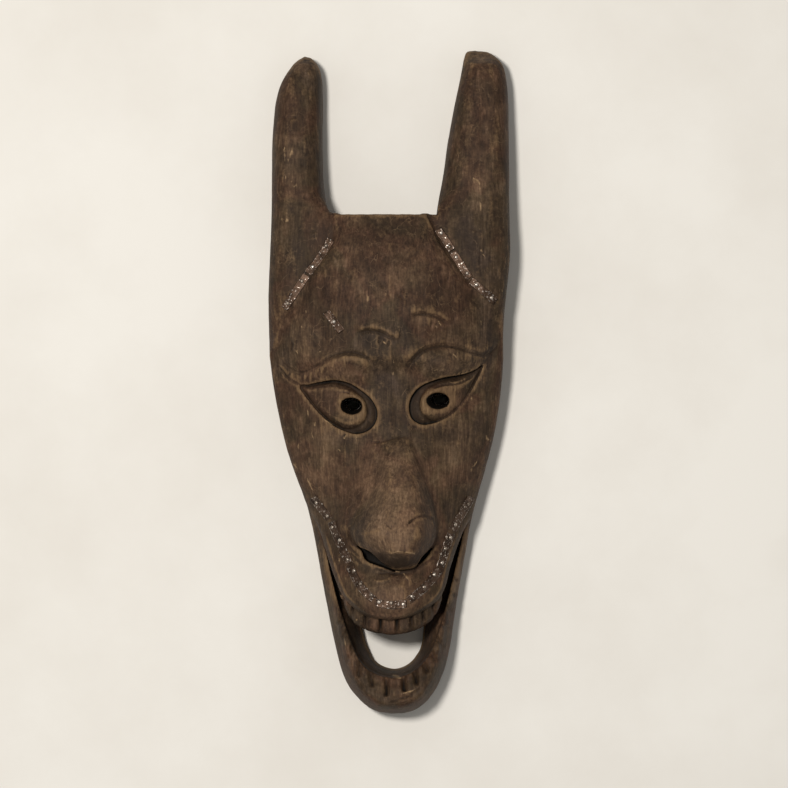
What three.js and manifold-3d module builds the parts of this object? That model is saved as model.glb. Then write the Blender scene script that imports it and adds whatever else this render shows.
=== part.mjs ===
// A horned barong mask carved from one block of wood, with thin copper strips tacked on it.
// Frame: +X to the viewer's right, +Y up the face to the horns, +Z out of the face, in mm.
// The mask lies on its flat back rim at z = 0, and the origin is the middle of its box there.
import * as THREE from "three";
import { mergeVertices } from "three/addons/utils/BufferGeometryUtils.js";
import Module from "manifold-3d";

const wasm = await Module();
wasm.setup();

// ---------------------------------------------------------------- driving dimensions
const TOP_OF_STOCK = 140; // prisms that cut right through reach from here
const UNDER = -6; // to here, below the back rim
const CROWN_Y = 124; // the straight saw cut between the horns
const MOUTH_CORNER_Y = -92;
const ROOT_FALL = 6; // both sides of the valley at a horn's root fall this much
const ROOT_WIDTH = 8; // over this width
const ROOT_FADE = { from: 104, over: 16, left: 0.4 }; // the valley dies away towards the crown
const UNDERLAP = 2.5; // each horn's block runs this far in under the forehead
const WALL = 15; // wood left between the face and the hollow behind it
const HOLLOW_RISE = 34; // how far in from the rim the hollow reaches its full depth
const SPRING = 16; // the hollow's sides go straight up to here before they curve in
const SLIT_FLOOR = 22; // wood left below the slits between muzzle and jaw
const JAW_SIDE = 26; // height of the jaw's outer wall before it rounds over
const JAW_ROUND = 11; // width of that rounding
const MOUTH_SIDE = 44; // slope inside the lower teeth, from this height
const MOUTH_LIP = 14; // down to this one at the opening
const TEETH_BACK = 60; // underside of the upper teeth, over the mouth opening
const EYE_DEPTH = 8.5; // eyeballs lie this far below the brows at the inner corner
const EYE_DEPTH_OUTER = 4; // and this far below them at the outer corner
const EYEBALL_RADIUS = 26;
const EYEBALL_RISE = 5.5; // the ball stands this far out of the socket
const EYE_EDGE = 8; // and falls away over this width at its rim
const PUPIL_FRONT = 9; // radius of the peep holes at the eyeball
const PUPIL_BACK = 6.5; // radius at the hollow behind
const PUPIL_LENGTH = 60;
const PUPIL_SHIFT = 1; // the holes are bored a little up and outwards from the drawn centres
const STRIP_WIDTH = 6;
const STRIP_THICK = 0.8;
const STRIP_SUNK = 0.3; // a strip is let this far into the wood
const BED_ABOVE = 12; // what clears the wood over a strip reaches this high
const STRIP_STEP = 9; // a strip bends about every so many mm
const FIT = 0.35; // gap kept between a strip or tack and what it rests on
const TACK_HEAD = 1.45; // radius
const TACK_DOME = 1.1;
const TACK_SHANK = 0.6;
const TACK_LENGTH = 6;
const TACK_UNDER = 0.5; // underside of a tack's head above the strip
const KNIFE_SIDES = 4; // sides of the section of a knife cut
const HORN_FOOT_Y = 14; // the horns' blocks end down here, inside the temples
const TEETH_TOP = 80; // height of the upper front teeth
const TEETH_FALL = 14; // the side teeth are lower by this
const UPPER_NICK = { height: 79, width: 2.2 };
const LOWER_NICK_WIDTH = 1.8;
const NOSTRIL_SIZE = [9, 4.2, 13]; // half sizes of a nostril's pit
const CELL = 2; // finest triangle side of a relief
const CELLS = 256; // cells along the square a relief is worked out on
const FACE_TOLERANCE = 1.8; // how far a facet may stray from the carved surface
const HORN_TOLERANCE = 2.8; // the same on the plain sweeps of the horns

// Outer edge of the block, each side from horn tip to chin.
const LEFT_EDGE = [
  [-64.5, 245], [-70.5, 241], [-76.5, 233.5], [-81, 226], [-84.5, 216.5], [-87, 203],
  [-88.5, 180], [-89, 120], [-91, 50], [-88.5, 4],
  [-77, -52], [-61.5, -97], [-50, -156], [-41, -200], [-34, -224], [-24, -238.5], [-12, -247.5],
  [0, -250],
];
const RIGHT_EDGE = [
  [64, 250], [75, 248], [84, 239.5], [88, 224], [89.5, 190], [89.5, 130], [90, 96], [87, 64],
  [84.5, 35], [84.5, 8], [81, -25], [75.5, -52], [63, -97], [55.5, -137], [50, -168], [44.5, -204],
  [40, -220], [31, -237], [21, -246], [11, -249.5], [0, -250],
];
// Inner edges of the horns, from the tip to the crown.
const LEFT_HORN_INSIDE = [
  [-64.5, 245], [-59.5, 243.5], [-55.5, 239.5], [-52.4, 233], [-51, 215], [-51, 170], [-49.5, 142],
  [-46, 128], [-42, 124],
];
const RIGHT_HORN_INSIDE = [[64, 250], [58.5, 241], [51, 204], [45, 174], [35, 124]];
// Valleys where the horns grow out of the forehead; the right one runs on round the temple.
const LEFT_ROOT = [[-41, 124], [-40, 107], [-53, 84.5], [-67, 62], [-76, 45.5], [-90, 20]];
const RIGHT_ROOT = [
  [27, 124], [35, 105], [50.5, 81.5], [64, 61.5], [74.5, 54.5], [80, 49.5], [82.5, 42], [86, 34],
];
// Edge of the muzzle from the mouth corners round the upper lip.
const MUZZLE_LEFT = [[-61, -95], [-53, -110], [-41, -145.5], [-34, -160], [-17, -174.3], [0, -177]];
const MUZZLE_RIGHT = [[61.5, -101], [55, -111], [45.2, -137], [38, -158.5], [17, -174.3], [0, -177]];

const LEFT_EYE = [
  [-67, -3.5], [-60, -2.4], [-52, -0.5], [-40.5, 0.8], [-30, -1.5], [-21.5, -6.5], [-14, -13],
  [-9.5, -21], [-10, -29.5], [-15.5, -36], [-24, -39], [-33, -37], [-42, -32.5], [-51, -25],
  [-60, -14.5],
];
const RIGHT_EYE = [
  [69, 12], [61, 7.6], [51, 4.7], [40.5, 2.9], [30.5, 0], [21.5, -4.5], [15.5, -12], [14, -20],
  [16.5, -28], [23, -32], [32, -31], [42, -26.5], [50.5, -20], [57.5, -11], [64, 0],
];
const LEFT_PUPIL = [-29.5, -20.5];
const RIGHT_PUPIL = [35.5, -15];
const LEFT_BROW = [
  [-10.5, 8], [-15.5, 16.5], [-23, 20.5], [-32, 21.5], [-42, 19], [-57, 10], [-66, 7], [-75, 10.5],
  [-85, 20],
];
const RIGHT_BROW = [
  [13, 7], [17, 15], [26, 22.5], [37, 25.5], [48, 24.5], [64, 20], [71.5, 19.5], [79, 25], [84, 34],
];
const LEFT_LID = [[-64, -4.5], [-52, -8], [-40, -8], [-29, -9.6], [-19, -15], [-15, -23]];
const RIGHT_LID = [[66, 6], [56, 0.5], [45, -1.5], [33, -4.5], [24, -9], [19.5, -17]];
const LEFT_WRINKLE = [[-24, 34.5], [-18.5, 36.5], [-9, 35.8], [0, 31.5], [4.5, 28]];
const RIGHT_WRINKLE = [[13, 46.5], [23, 48.2], [32, 46], [41, 40.5]];
// Depth of a carved line, the rise on its lower side, the width of that rise and of its fall.
const BROW_CUT = { cut: 1.8, rise: 1.8, reach: 7, fall: 10 };
const WRINKLE_CUT = { cut: 1.6, rise: 1.4, reach: 6, fall: 8 };
// Rounded rises over the eyes and at the temples.
const BOSSES = [
  { at: [-38, 9], radii: [34, 16], rise: 6, turn: -0.05 },
  { at: [45, 13], radii: [34, 16], rise: 6, turn: 0.12 },
  { at: [-66, 30], radii: [20, 26], rise: 4, turn: 0 },
  { at: [62, 36], radii: [24, 26], rise: 4, turn: 0 },
];

// Sides of the nose, from the small step below the eyes to the tip.
const NOSE_LEFT = [[-7, -43], [-13, -65], [-20.5, -87], [-28, -110], [-25, -119], [-7, -134], [2, -138.5]];
const NOSE_RIGHT = [[14.5, -41.5], [19, -54], [27, -75], [34, -104], [33, -117], [18, -132], [8, -138.5]];
const LEFT_WING = [[-17, -98], [-9, -98.5], [3, -109.5]];
const RIGHT_WING = [[10.5, -109.5], [18, -100.5], [32, -103]];
const NOSE_STEP = [[-8, -43.5], [2, -43], [15, -41]];
// Centre of each nostril and its turn in the plane of the face.
const LEFT_NOSTRIL = [[-16.5, -127.5, 88], -0.75];
const RIGHT_NOSTRIL = [[25.5, -126.5, 88], 0.85];

// Bottom of the upper teeth, the lower teeth and the opening of the mouth.
const UPPER_TEETH = [
  [-38, -158], [-32.4, -171], [-28, -178], [-19, -183.6], [-0.4, -187.4], [18, -184.6],
  [31, -177], [36, -170], [40, -158],
];
const MOUTH_OPENING = [
  [-25, -165], [-21.5, -184], [-17, -200], [-10, -212], [2.9, -217], [14, -213.2], [22.5, -202],
  [25, -186], [27, -165],
];
const LOWER_TEETH = [
  [-52, -100], [-44, -145], [-34, -179.4], [-22, -208], [-12, -216.5], [3, -220], [16, -216],
  [28.2, -204.4], [38, -181], [47.5, -145], [57, -103],
];
const LOWER_GUM = [
  [-43, -170], [-34, -208], [-25, -223], [-12, -231], [2, -234.5], [17, -231], [31, -218.5],
  [41, -192], [46, -170],
];
// Hollow behind the face, which runs down into the mouth opening.
const HOLLOW_LEFT = [[0, 94], [-40, 92], [-66, 70], [-75, 40], [-73, 4], [-60, -52], [-45, -97], [-33, -140]];
const HOLLOW_RIGHT = [[0, 94], [40, 92], [68, 70], [77, 40], [75, 4], [65, -50], [52, -97], [38, -140]];

// Heights of the carving above the back rim, as [y, height] down the mask.
const RIDGE = [
  [124, 63], [100, 75], [76, 83], [45, 87], [20, 86], [4, 80], [-18, 79], [-42, 81], [-80, 84],
  [-120, 85], [-139, 86], [-152, 92], [-166, 94], [-177, 86],
];
const SIDE = [
  [124, 44], [76, 46], [30, 44], [-20, 41], [-60, 40], [-92, 44], [-115, 54], [-140, 66],
  [-165, 76], [-177, 80],
];
const RIDGE_X = [[124, 0], [40, 1], [-40, 4], [-110, 4], [-177, 0]];
const HORN_CREST = [
  [250, 18], [240, 31], [224, 42], [200, 48], [150, 56], [110, 63], [70, 66], [40, 58], [14, 46],
];
const HORN_BASE = [[250, 10], [200, 16], [100, 24], [40, 36], [14, 40]];
const NOSE_RISE = [
  [-38, 0], [-43, 3], [-60, 10], [-85, 21], [-105, 30], [-120, 33], [-130, 25], [-140, 8],
];
const JAW_CREST = [[-92, 40], [-120, 42], [-150, 48], [-180, 57], [-205, 63], [-222, 65], [-250, 65]];

// Lengths of copper strip, as [x, y] of the two ends of the centre line.
const STRIPS = {
  lip_strip_left_upper: [[-57, -87], [-44.5, -103]],
  lip_strip_left_middle: [[-43.3, -104.8], [-30.2, -134]],
  lip_strip_left_lower: [[-29.4, -137], [-12, -160.2]],
  lip_strip_front: [[-9.4, -162.6], [11.6, -163]],
  lip_strip_right_lower: [[13.8, -161], [36.2, -140]],
  lip_strip_right_middle: [[37.4, -137.3], [44.9, -113.4]],
  lip_strip_right_upper: [[46, -111], [60.4, -87]],
  horn_strip_left_upper: [[-44.3, 105], [-60.6, 80.6]],
  horn_strip_left_lower: [[-62, 78.4], [-78, 54.6]],
  horn_strip_right_upper: [[36, 112.5], [45.6, 97.6]],
  horn_strip_right_middle: [[46.8, 95.4], [58.6, 77]],
  horn_strip_right_lower: [[60.4, 74.6], [78, 59.6]],
  temple_strip: [[-46.5, 51], [-36, 37]],
};
// Tacks, as [share of the length, offset across the strip].
const TACKS = {
  lip_strip_left_upper: [[0.22, 0], [0.8, 0.6]],
  lip_strip_left_middle: [[0.12, -0.8], [0.45, 0.6], [0.9, 0]],
  lip_strip_left_lower: [[0.16, 0.9], [0.5, -0.9], [0.86, 0.6]],
  lip_strip_front: [[0.1, 0.6], [0.5, 0], [0.88, -0.6]],
  lip_strip_right_lower: [[0.14, 0.8], [0.48, -0.8], [0.84, 0.5]],
  lip_strip_right_middle: [[0.15, 0], [0.55, 0.7], [0.88, -0.6]],
  lip_strip_right_upper: [[0.2, 0.4], [0.82, -0.4]],
  horn_strip_left_upper: [[0.2, 0], [0.8, 0.4]],
  horn_strip_left_lower: [[0.2, -0.4], [0.84, 0]],
  horn_strip_right_upper: [[0.2, 0.3], [0.82, 0]],
  horn_strip_right_middle: [[0.2, 0], [0.82, 0.5]],
  horn_strip_right_lower: [[0.22, 0], [0.82, 0]],
  temple_strip: [[0.5, 0]],
};

// ---------------------------------------------------------------- plane geometry
function smooth(t) {
  const s = Math.min(Math.max(t, 0), 1);
  return s * s * (3 - 2 * s);
}

// A smooth value that passes through each [y, value] and doesn't overshoot between them.
function profile(stations) {
  const rows = [...stations].sort((a, b) => a[0] - b[0]);
  const last = rows.length - 1;
  const rate = rows.slice(1).map((r, i) => (r[1] - rows[i][1]) / (r[0] - rows[i][0]));
  const slope = rows.map((r, i) => {
    if (i === 0) return rate[0];
    if (i === last) return rate[last - 1];
    const product = rate[i - 1] * rate[i];
    return product <= 0 ? 0 : (2 * product) / (rate[i - 1] + rate[i]);
  });
  return (y) => {
    if (y <= rows[0][0]) return rows[0][1];
    if (y >= rows[last][0]) return rows[last][1];
    let i = 0;
    while (rows[i + 1][0] < y) i += 1;
    const step = rows[i + 1][0] - rows[i][0];
    const t = (y - rows[i][0]) / step;
    const u = 1 - t;
    return (
      (1 + 2 * t) * u * u * rows[i][1] +
      t * u * u * step * slope[i] +
      t * t * (3 - 2 * t) * rows[i + 1][1] -
      t * t * u * step * slope[i + 1]
    );
  };
}

// A flowing line through the points, `per` straight lengths between each pair.
function flow(points, per, closed = false) {
  const line = new THREE.CatmullRomCurve3(
    points.map(([x, y]) => new THREE.Vector3(x, y, 0)),
    closed,
    "centripetal",
  );
  const count = per * (closed ? points.length : points.length - 1);
  const out = line.getPoints(count).map((p) => [p.x, p.y]);
  if (closed) out.pop();
  return out;
}

// Distance from a point to a line, and how far along the line the nearest place is (0 to 1).
function nearest(line, x, y) {
  let best = Infinity;
  let place = 0;
  let side = 1;
  for (let i = 0; i + 1 < line.length; i += 1) {
    const [ax, ay] = line[i];
    const dx = line[i + 1][0] - ax;
    const dy = line[i + 1][1] - ay;
    const t = Math.min(Math.max(((x - ax) * dx + (y - ay) * dy) / (dx * dx + dy * dy), 0), 1);
    const ex = x - ax - t * dx;
    const ey = y - ay - t * dy;
    const d = ex * ex + ey * ey;
    if (d < best) {
      best = d;
      place = (i + t) / (line.length - 1);
      side = dx * ey - dy * ex < 0 ? -1 : 1;
    }
  }
  return { distance: Math.sqrt(best), place, side };
}

function within(outline, x, y) {
  let odd = false;
  for (let i = 0, j = outline.length - 1; i < outline.length; j = i, i += 1) {
    const [ax, ay] = outline[i];
    const [bx, by] = outline[j];
    if (ay > y !== by > y && x < ((bx - ax) * (y - ay)) / (by - ay) + ax) odd = !odd;
  }
  return odd;
}

// Distance inwards from an outline, negative outside it, so that a height runs on smoothly past it.
function inward(outline, x, y) {
  const { distance } = nearest([...outline, outline[0]], x, y);
  return within(outline, x, y) ? distance : -distance;
}

// A quarter wave from 0 at an edge to 1 at `reach` inside it.
function rounded(distance, reach) {
  return Math.sin((Math.PI / 2) * Math.max(Math.min(distance / reach, 1), -1));
}

// ---------------------------------------------------------------- solids
function solid(geometry) {
  const bare = geometry.clone();
  bare.deleteAttribute("normal");
  bare.deleteAttribute("uv");
  const merged = mergeVertices(bare, 1e-4);
  return new wasm.Manifold(
    new wasm.Mesh({
      numProp: 3,
      vertProperties: new Float32Array(merged.attributes.position.array),
      triVerts: new Uint32Array(merged.index.array),
    }),
  );
}

function geometryOf(body) {
  const mesh = body.getMesh();
  const position = new Float32Array(mesh.numVert * 3);
  for (let i = 0; i < mesh.numVert; i += 1) {
    position.set(mesh.vertProperties.subarray(i * mesh.numProp, i * mesh.numProp + 3), i * 3);
  }
  return new THREE.BufferGeometry()
    .setAttribute("position", new THREE.BufferAttribute(position, 3))
    .setIndex(new THREE.BufferAttribute(mesh.triVerts, 1));
}

// An upright block with the plan `outline`, from one height to another.
function prism(outline, from, to) {
  const shape = new THREE.Shape(outline.map(([x, y]) => new THREE.Vector2(x, y)));
  const block = new THREE.ExtrudeGeometry(shape, { depth: to - from, bevelEnabled: false });
  return solid(block.translate(0, 0, from));
}

// Right-angled triangles that halve wherever the carved surface needs it, inside `counts`.
function surfaceTriangles(height, counts, tolerance, finest) {
  const row = CELLS + 1;
  const half = (CELLS * CELL) / 2;
  const level = new Float64Array(row * row);
  const error = new Float64Array(row * row);
  for (let j = 0; j < row; j += 1) {
    for (let i = 0; i < row; i += 1) level[j * row + i] = height(i * CELL - half, j * CELL - half);
  }
  const triangles = CELLS * CELLS * 2 - 2;
  const parents = triangles - CELLS * CELLS;
  for (let n = triangles - 1; n >= 0; n -= 1) {
    let id = n + 2;
    let [ax, ay, bx, by, cx, cy] = [0, 0, 0, 0, 0, 0];
    if (id & 1) bx = by = cx = CELLS;
    else ax = ay = cy = CELLS;
    while ((id >>= 1) > 1) {
      const [mx, my] = [(ax + bx) >> 1, (ay + by) >> 1];
      if (id & 1) [bx, by, ax, ay] = [ax, ay, cx, cy];
      else [ax, ay, bx, by] = [bx, by, cx, cy];
      [cx, cy] = [mx, my];
    }
    const [mx, my] = [(ax + bx) >> 1, (ay + by) >> 1];
    const middle = my * row + mx;
    const [x, y] = [mx * CELL - half, my * CELL - half];
    if (counts(x, y)) {
      const flat = (level[ay * row + ax] + level[by * row + bx]) / 2;
      error[middle] = Math.max(error[middle], Math.abs(flat - level[middle]));
    }
    if (n < parents) {
      const left = ((ay + cy) >> 1) * row + ((ax + cx) >> 1);
      const right = ((by + cy) >> 1) * row + ((bx + cx) >> 1);
      error[middle] = Math.max(error[middle], error[left], error[right]);
    }
  }
  const index = [];
  function split(ax, ay, bx, by, cx, cy) {
    const [mx, my] = [(ax + bx) >> 1, (ay + by) >> 1];
    if (Math.abs(ax - cx) + Math.abs(ay - cy) > finest && error[my * row + mx] > tolerance) {
      split(cx, cy, ax, ay, mx, my);
      split(bx, by, cx, cy, mx, my);
    } else {
      index.push(ay * row + ax, cy * row + cx, by * row + bx);
    }
  }
  split(0, 0, CELLS, CELLS, CELLS, 0);
  split(CELLS, CELLS, 0, 0, 0, CELLS);
  const place = (k) => [(k % row) * CELL - half, Math.floor(k / row) * CELL - half];
  return { index, place, level };
}

// A block that is wider than `outline` all round and has the carved surface for its top.
function carvedBlock(height, outline, floor, tolerance, finest) {
  const box = new THREE.Box2().setFromPoints(outline.map(([x, y]) => new THREE.Vector2(x, y)));
  const counts = (x, y) =>
    x > box.min.x - CELL &&
    x < box.max.x + CELL &&
    y > box.min.y - CELL &&
    y < box.max.y + CELL &&
    inward(outline, x, y) > -CELL;
  const { index, place, level } = surfaceTriangles(height, counts, tolerance, finest);
  const used = [...new Set(index)];
  const slot = new Map(used.map((k, i) => [k, i]));
  const count = used.length;
  const points = [
    ...used.flatMap((k) => [...place(k), level[k]]),
    ...used.flatMap((k) => [...place(k), floor]),
  ];
  const faces = [];
  const open = new Map();
  for (let i = 0; i < index.length; i += 3) {
    const [a, b, c] = [0, 1, 2].map((j) => slot.get(index[i + j]));
    faces.push(a, b, c, a + count, c + count, b + count);
    for (const [p, q] of [[a, b], [b, c], [c, a]]) {
      if (!open.delete(q + "," + p)) open.set(p + "," + q, [p, q]);
    }
  }
  for (const [p, q] of open.values()) faces.push(q, p, p + count, q, p + count, q + count);
  const block = new THREE.BufferGeometry()
    .setAttribute("position", new THREE.BufferAttribute(new Float32Array(points), 3))
    .setIndex(faces);
  return solid(block);
}

// The block trimmed to its outline, to be joined to the body.
function relief(height, outline, floor, tolerance, finest) {
  const block = carvedBlock(height, outline, floor - 1, tolerance, finest);
  return block.intersect(prism(outline, floor, TOP_OF_STOCK));
}

// What is cut away above the carved surface within an outline.
function hollowing(height, outline, tolerance, finest) {
  const block = carvedBlock(height, outline, UNDER, tolerance, finest);
  return prism(outline, 0, TOP_OF_STOCK).subtract(block);
}

// A knife cut along a line on the surface, deepest in the middle and running out at its ends.
function knifeCut(points, surface, radius, depth, steps) {
  const spine = flow(points, steps).map(([x, y], i, all) => {
    const t = i / (all.length - 1);
    const share = Math.sqrt(Math.sin(Math.PI * t));
    return new THREE.Vector3(x, y, surface(x, y) + radius - depth * share + 0.01);
  });
  const round = new THREE.Shape(
    new THREE.EllipseCurve(0, 0, radius, radius).getPoints(KNIFE_SIDES).slice(0, KNIFE_SIDES),
  );
  const path = new THREE.CatmullRomCurve3(spine);
  const cutter = new THREE.ExtrudeGeometry(round, {
    steps: spine.length - 1,
    bevelEnabled: false,
    extrudePath: path,
  });
  return solid(cutter);
}

// ---------------------------------------------------------------- outlines
const leftEdge = flow(LEFT_EDGE, 2);
const rightEdge = flow(RIGHT_EDGE, 2);
const leftInside = flow(LEFT_HORN_INSIDE, 2);
const rightInside = flow(RIGHT_HORN_INSIDE, 2);
const leftRoot = flow(LEFT_ROOT, 4);
const rightRoot = flow(RIGHT_ROOT, 4);
const below = (line, y) => line.filter((p) => p[1] <= y);
const above = (line, y) => line.filter((p) => p[1] > y);

const muzzleLeft = flow(MUZZLE_LEFT, 2);
const muzzleRight = flow(MUZZLE_RIGHT, 2);
const headOutline = [
  ...leftRoot,
  ...leftEdge.filter(([, y]) => y < LEFT_ROOT.at(-1)[1] && y > MOUTH_CORNER_Y),
  ...muzzleLeft,
  ...muzzleRight.slice(0, -1).reverse(),
  ...rightEdge.filter(([, y]) => y < RIGHT_ROOT.at(-1)[1] && y > MOUTH_CORNER_Y).reverse(),
  ...rightRoot.slice().reverse(),
];
const leftHorn = [
  ...above(leftEdge, HORN_FOOT_Y),
  ...leftRoot.map(([x, y]) => [x + UNDERLAP, y - UNDERLAP]).reverse().slice(0, -1),
  ...leftInside.slice(1).reverse(),
];
const rightHorn = [
  ...above(rightEdge, HORN_FOOT_Y),
  ...rightRoot.map(([x, y]) => [x - UNDERLAP, y - UNDERLAP]).reverse().slice(0, -1),
  [RIGHT_ROOT[0][0] - UNDERLAP, CROWN_Y],
  ...rightInside.slice(1).reverse(),
];
const blockOutline = [...leftEdge, ...rightEdge.slice(0, -1).reverse()];
const jawOutline = [
  ...below(leftEdge, MOUTH_CORNER_Y + 14),
  ...below(rightEdge, MOUTH_CORNER_Y + 14).slice(0, -1).reverse(),
];
const leftEye = flow(LEFT_EYE, 2, true);
const rightEye = flow(RIGHT_EYE, 2, true);
const noseOutline = [...flow(NOSE_LEFT, 3), ...flow(NOSE_RIGHT, 3).reverse()];
const upperTeeth = flow(UPPER_TEETH, 2);
const mouthOpening = flow(MOUTH_OPENING, 2);
const lowerTeeth = flow(LOWER_TEETH, 2);
const lowerGum = flow(LOWER_GUM, 3);
const hollowOutline = [
  ...flow(HOLLOW_LEFT, 2),
  ...mouthOpening,
  ...flow(HOLLOW_RIGHT, 2).slice(1).reverse(),
];

// ---------------------------------------------------------------- carved heights
const turned = (line) => line.map(([x, y]) => [y, x]);
const besideFace = ([, y]) => y < 215 && y > MOUTH_CORNER_Y;
const headLeft = profile(turned([...LEFT_EDGE.filter(besideFace), ...MUZZLE_LEFT.slice(1)]));
const headRight = profile(turned([...RIGHT_EDGE.filter(besideFace), ...MUZZLE_RIGHT.slice(1)]));
const ridge = profile(RIDGE);
const side = profile(SIDE);
const ridgeX = profile(RIDGE_X);
const hornCrest = profile(HORN_CREST);
const hornBase = profile(HORN_BASE);
const hornOut = {
  left: profile(turned(LEFT_EDGE.slice(0, 11))),
  right: profile(turned(RIGHT_EDGE.slice(0, 10))),
};
const hornIn = {
  left: profile(turned([...LEFT_HORN_INSIDE.slice(0, 8), [-35, 116], [-29, 95], [-25, 14]])),
  right: profile(turned([...RIGHT_HORN_INSIDE.slice(0, 4), [29, 124], [24, 100], [21, 14]])),
};
const noseLeft = profile(turned(NOSE_LEFT));
const noseRight = profile(turned(NOSE_RIGHT));
const noseRise = profile(NOSE_RISE);
const jawCrest = profile(JAW_CREST);

// 1 in the middle of a rounded section, falling to 0 at its edges.
function dome(share, fullness) {
  return 1 - Math.min(Math.abs(share), 1.2) ** fullness;
}

// A rounded rise of radii rx and ry about (cx, cy).
function swell(x, y, { at: [cx, cy], radii: [rx, ry], rise, turn }) {
  const [c, s] = [Math.cos(turn), Math.sin(turn)];
  const [u, v] = [(x - cx) * c + (y - cy) * s, (y - cy) * c - (x - cx) * s];
  return rise * smooth(1 - Math.hypot(u / rx, v / ry));
}

function headDome(x, y) {
  const middle = ridgeX(y);
  const reach = x < middle ? middle - headLeft(y) : headRight(y) - middle;
  const share = Math.abs(x - middle) / Math.max(reach, 1);
  return side(y) + (ridge(y) - side(y)) * dome(share, 2.2);
}

// The surface falls a little at a carved line, then stands up again on the line's lower side.
function carvedStep(line, x, y, { cut, rise, reach, fall }) {
  const { distance, place, side: hand } = nearest(line, x, y);
  if (distance > reach + fall) return 0;
  const ends = smooth(Math.min(place, 1 - place) / 0.14);
  if (hand > 0) return -cut * (1 - smooth(distance / 2)) * ends;
  if (distance < reach) return (-cut + (cut + rise) * smooth(distance / reach)) * ends;
  return rise * (1 - smooth((distance - reach) / fall)) * ends;
}

// Each line runs so that its upper side lies on the left, where the surface is cut down.
const steps = [
  { line: flow(LEFT_BROW, 4).reverse(), ...BROW_CUT },
  { line: flow(RIGHT_BROW, 4).reverse(), ...BROW_CUT },
  { line: flow(LEFT_WRINKLE, 4).reverse(), ...WRINKLE_CUT },
  { line: flow(RIGHT_WRINKLE, 4).reverse(), ...WRINKLE_CUT },
];

// Fall of the surface at a horn's root; `hand` is the side of the valley that it is seen from.
function rootFall(line, x, y, hand) {
  const { distance, side: lies } = nearest(line, x, y);
  const fade = 1 - (1 - ROOT_FADE.left) * smooth((y - ROOT_FADE.from) / ROOT_FADE.over);
  return ROOT_FALL * fade * (1 - rounded(lies === hand ? distance : -distance, ROOT_WIDTH));
}

function headHeight(x, y) {
  let z = headDome(x, y);
  for (const boss of BOSSES) z += swell(x, y, boss);
  for (const step of steps) z += carvedStep(step.line, x, y, step);
  return z - rootFall(leftRoot, x, y, 1) - rootFall(rightRoot, x, y, -1);
}

function hornHeight(which) {
  const root = which === "left" ? leftRoot : rightRoot;
  const hand = which === "left" ? -1 : 1;
  return (x, y) => {
    const [out, inn] = [hornOut[which](y), hornIn[which](y)];
    const share = (x - (out + inn) / 2) / Math.max(Math.abs(out - inn) / 2, 1);
    const round = hornBase(y) + (hornCrest(y) - hornBase(y)) * dome(share, 2.4);
    return y < CROWN_Y ? round - rootFall(root, x, y, hand) : round;
  };
}

function noseHeight(x, y) {
  const half = Math.max((noseRight(y) - noseLeft(y)) / 2, 3);
  const foot = 0.1 + 0.3 * smooth((-70 - y) / 40);
  const round = rounded(inward(noseOutline, x, y), half);
  return headDome(x, y) + noseRise(y) * (foot + (1 - foot) * round);
}

function eyeHeight(eye, pupil, outward) {
  return (x, y) => {
    const [dx, dy] = [x - pupil[0], y - pupil[1]];
    const outer = dx * outward > 0 ? smooth(Math.abs(dx) / 34) : 0;
    const depth = EYE_DEPTH + (EYE_DEPTH_OUTER - EYE_DEPTH) * outer;
    const ball = Math.sqrt(Math.max(1 - (dx * dx + dy * dy) / EYEBALL_RADIUS ** 2, 0));
    const edge = rounded(inward(eye, x, y), EYE_EDGE);
    return headDome(x, y) + 2 - depth + EYEBALL_RISE * ball * edge;
  };
}

// The jaw is a bar with a rounded outside that carries the lower teeth on its inner edge.
function jawHeight(x, y) {
  const gum = nearest(lowerGum, x, y).distance;
  const round = rounded(inward(blockOutline, x, y), JAW_ROUND);
  return JAW_SIDE + (jawCrest(y) - JAW_SIDE) * round - 2 * (1 - smooth(gum / 3));
}

// Inside the teeth the wood slopes from the foot of the teeth down to the mouth opening.
function mouthFloor(x, y) {
  const teeth = nearest(lowerTeeth, x, y).distance;
  const hole = nearest(mouthOpening, x, y).distance;
  const slope = MOUTH_SIDE + (MOUTH_LIP - MOUTH_SIDE) * smooth(teeth / (teeth + hole));
  return slope + (SLIT_FLOOR - slope) * smooth((y + 176) / 14);
}

function teethHeight(x, y) {
  const top = TEETH_TOP - TEETH_FALL * smooth((Math.abs(x - 2) - 10) / 30);
  return top - 4 * (1 - rounded(inward(upperTeeth, x, y), 4));
}

// Roof of the hollow, which follows the face a wall's thickness behind it.
function hollowHeight(x, y) {
  const roof = Math.min(headDome(x, y) - WALL, TEETH_BACK);
  return SPRING + (roof - SPRING) * rounded(inward(hollowOutline, x, y), HOLLOW_RISE);
}

// ---------------------------------------------------------------- the mask
const UPPER_GAPS = [
  [[-27.5, -163], [-30.5, -181]], [[-18, -170], [-19.7, -188]], [[-7.4, -172], [-8, -191]],
  [[4.4, -172], [4.8, -191]], [[15.4, -170], [16.6, -189]], [[23.5, -166], [26.8, -186]],
  [[31, -161], [36, -178]],
];
const LOWER_GAPS = [
  [[-33, -177], [-43, -182]], [[-27, -196], [-37, -203]], [[-21, -205], [-30, -215]],
  [[-14, -212], [-20, -226]], [[-4.5, -216], [-7, -234]], [[6.5, -216], [9, -234]],
  [[14, -213], [19, -231]], [[20.5, -209], [28, -224]], [[26, -202], [36, -213]],
  [[30.5, -193], [42, -201]], [[34.5, -182], [45, -188]], [[38, -170], [48, -175]],
];

// A narrow nick between two teeth, as long as from a to b.
function nick([a, b], height, width) {
  const span = Math.hypot(b[0] - a[0], b[1] - a[1]);
  const bar = new THREE.BoxGeometry(span, width, width * 3);
  bar.rotateZ(Math.atan2(b[1] - a[1], b[0] - a[0]));
  return solid(bar.translate((a[0] + b[0]) / 2, (a[1] + b[1]) / 2, height));
}

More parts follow.
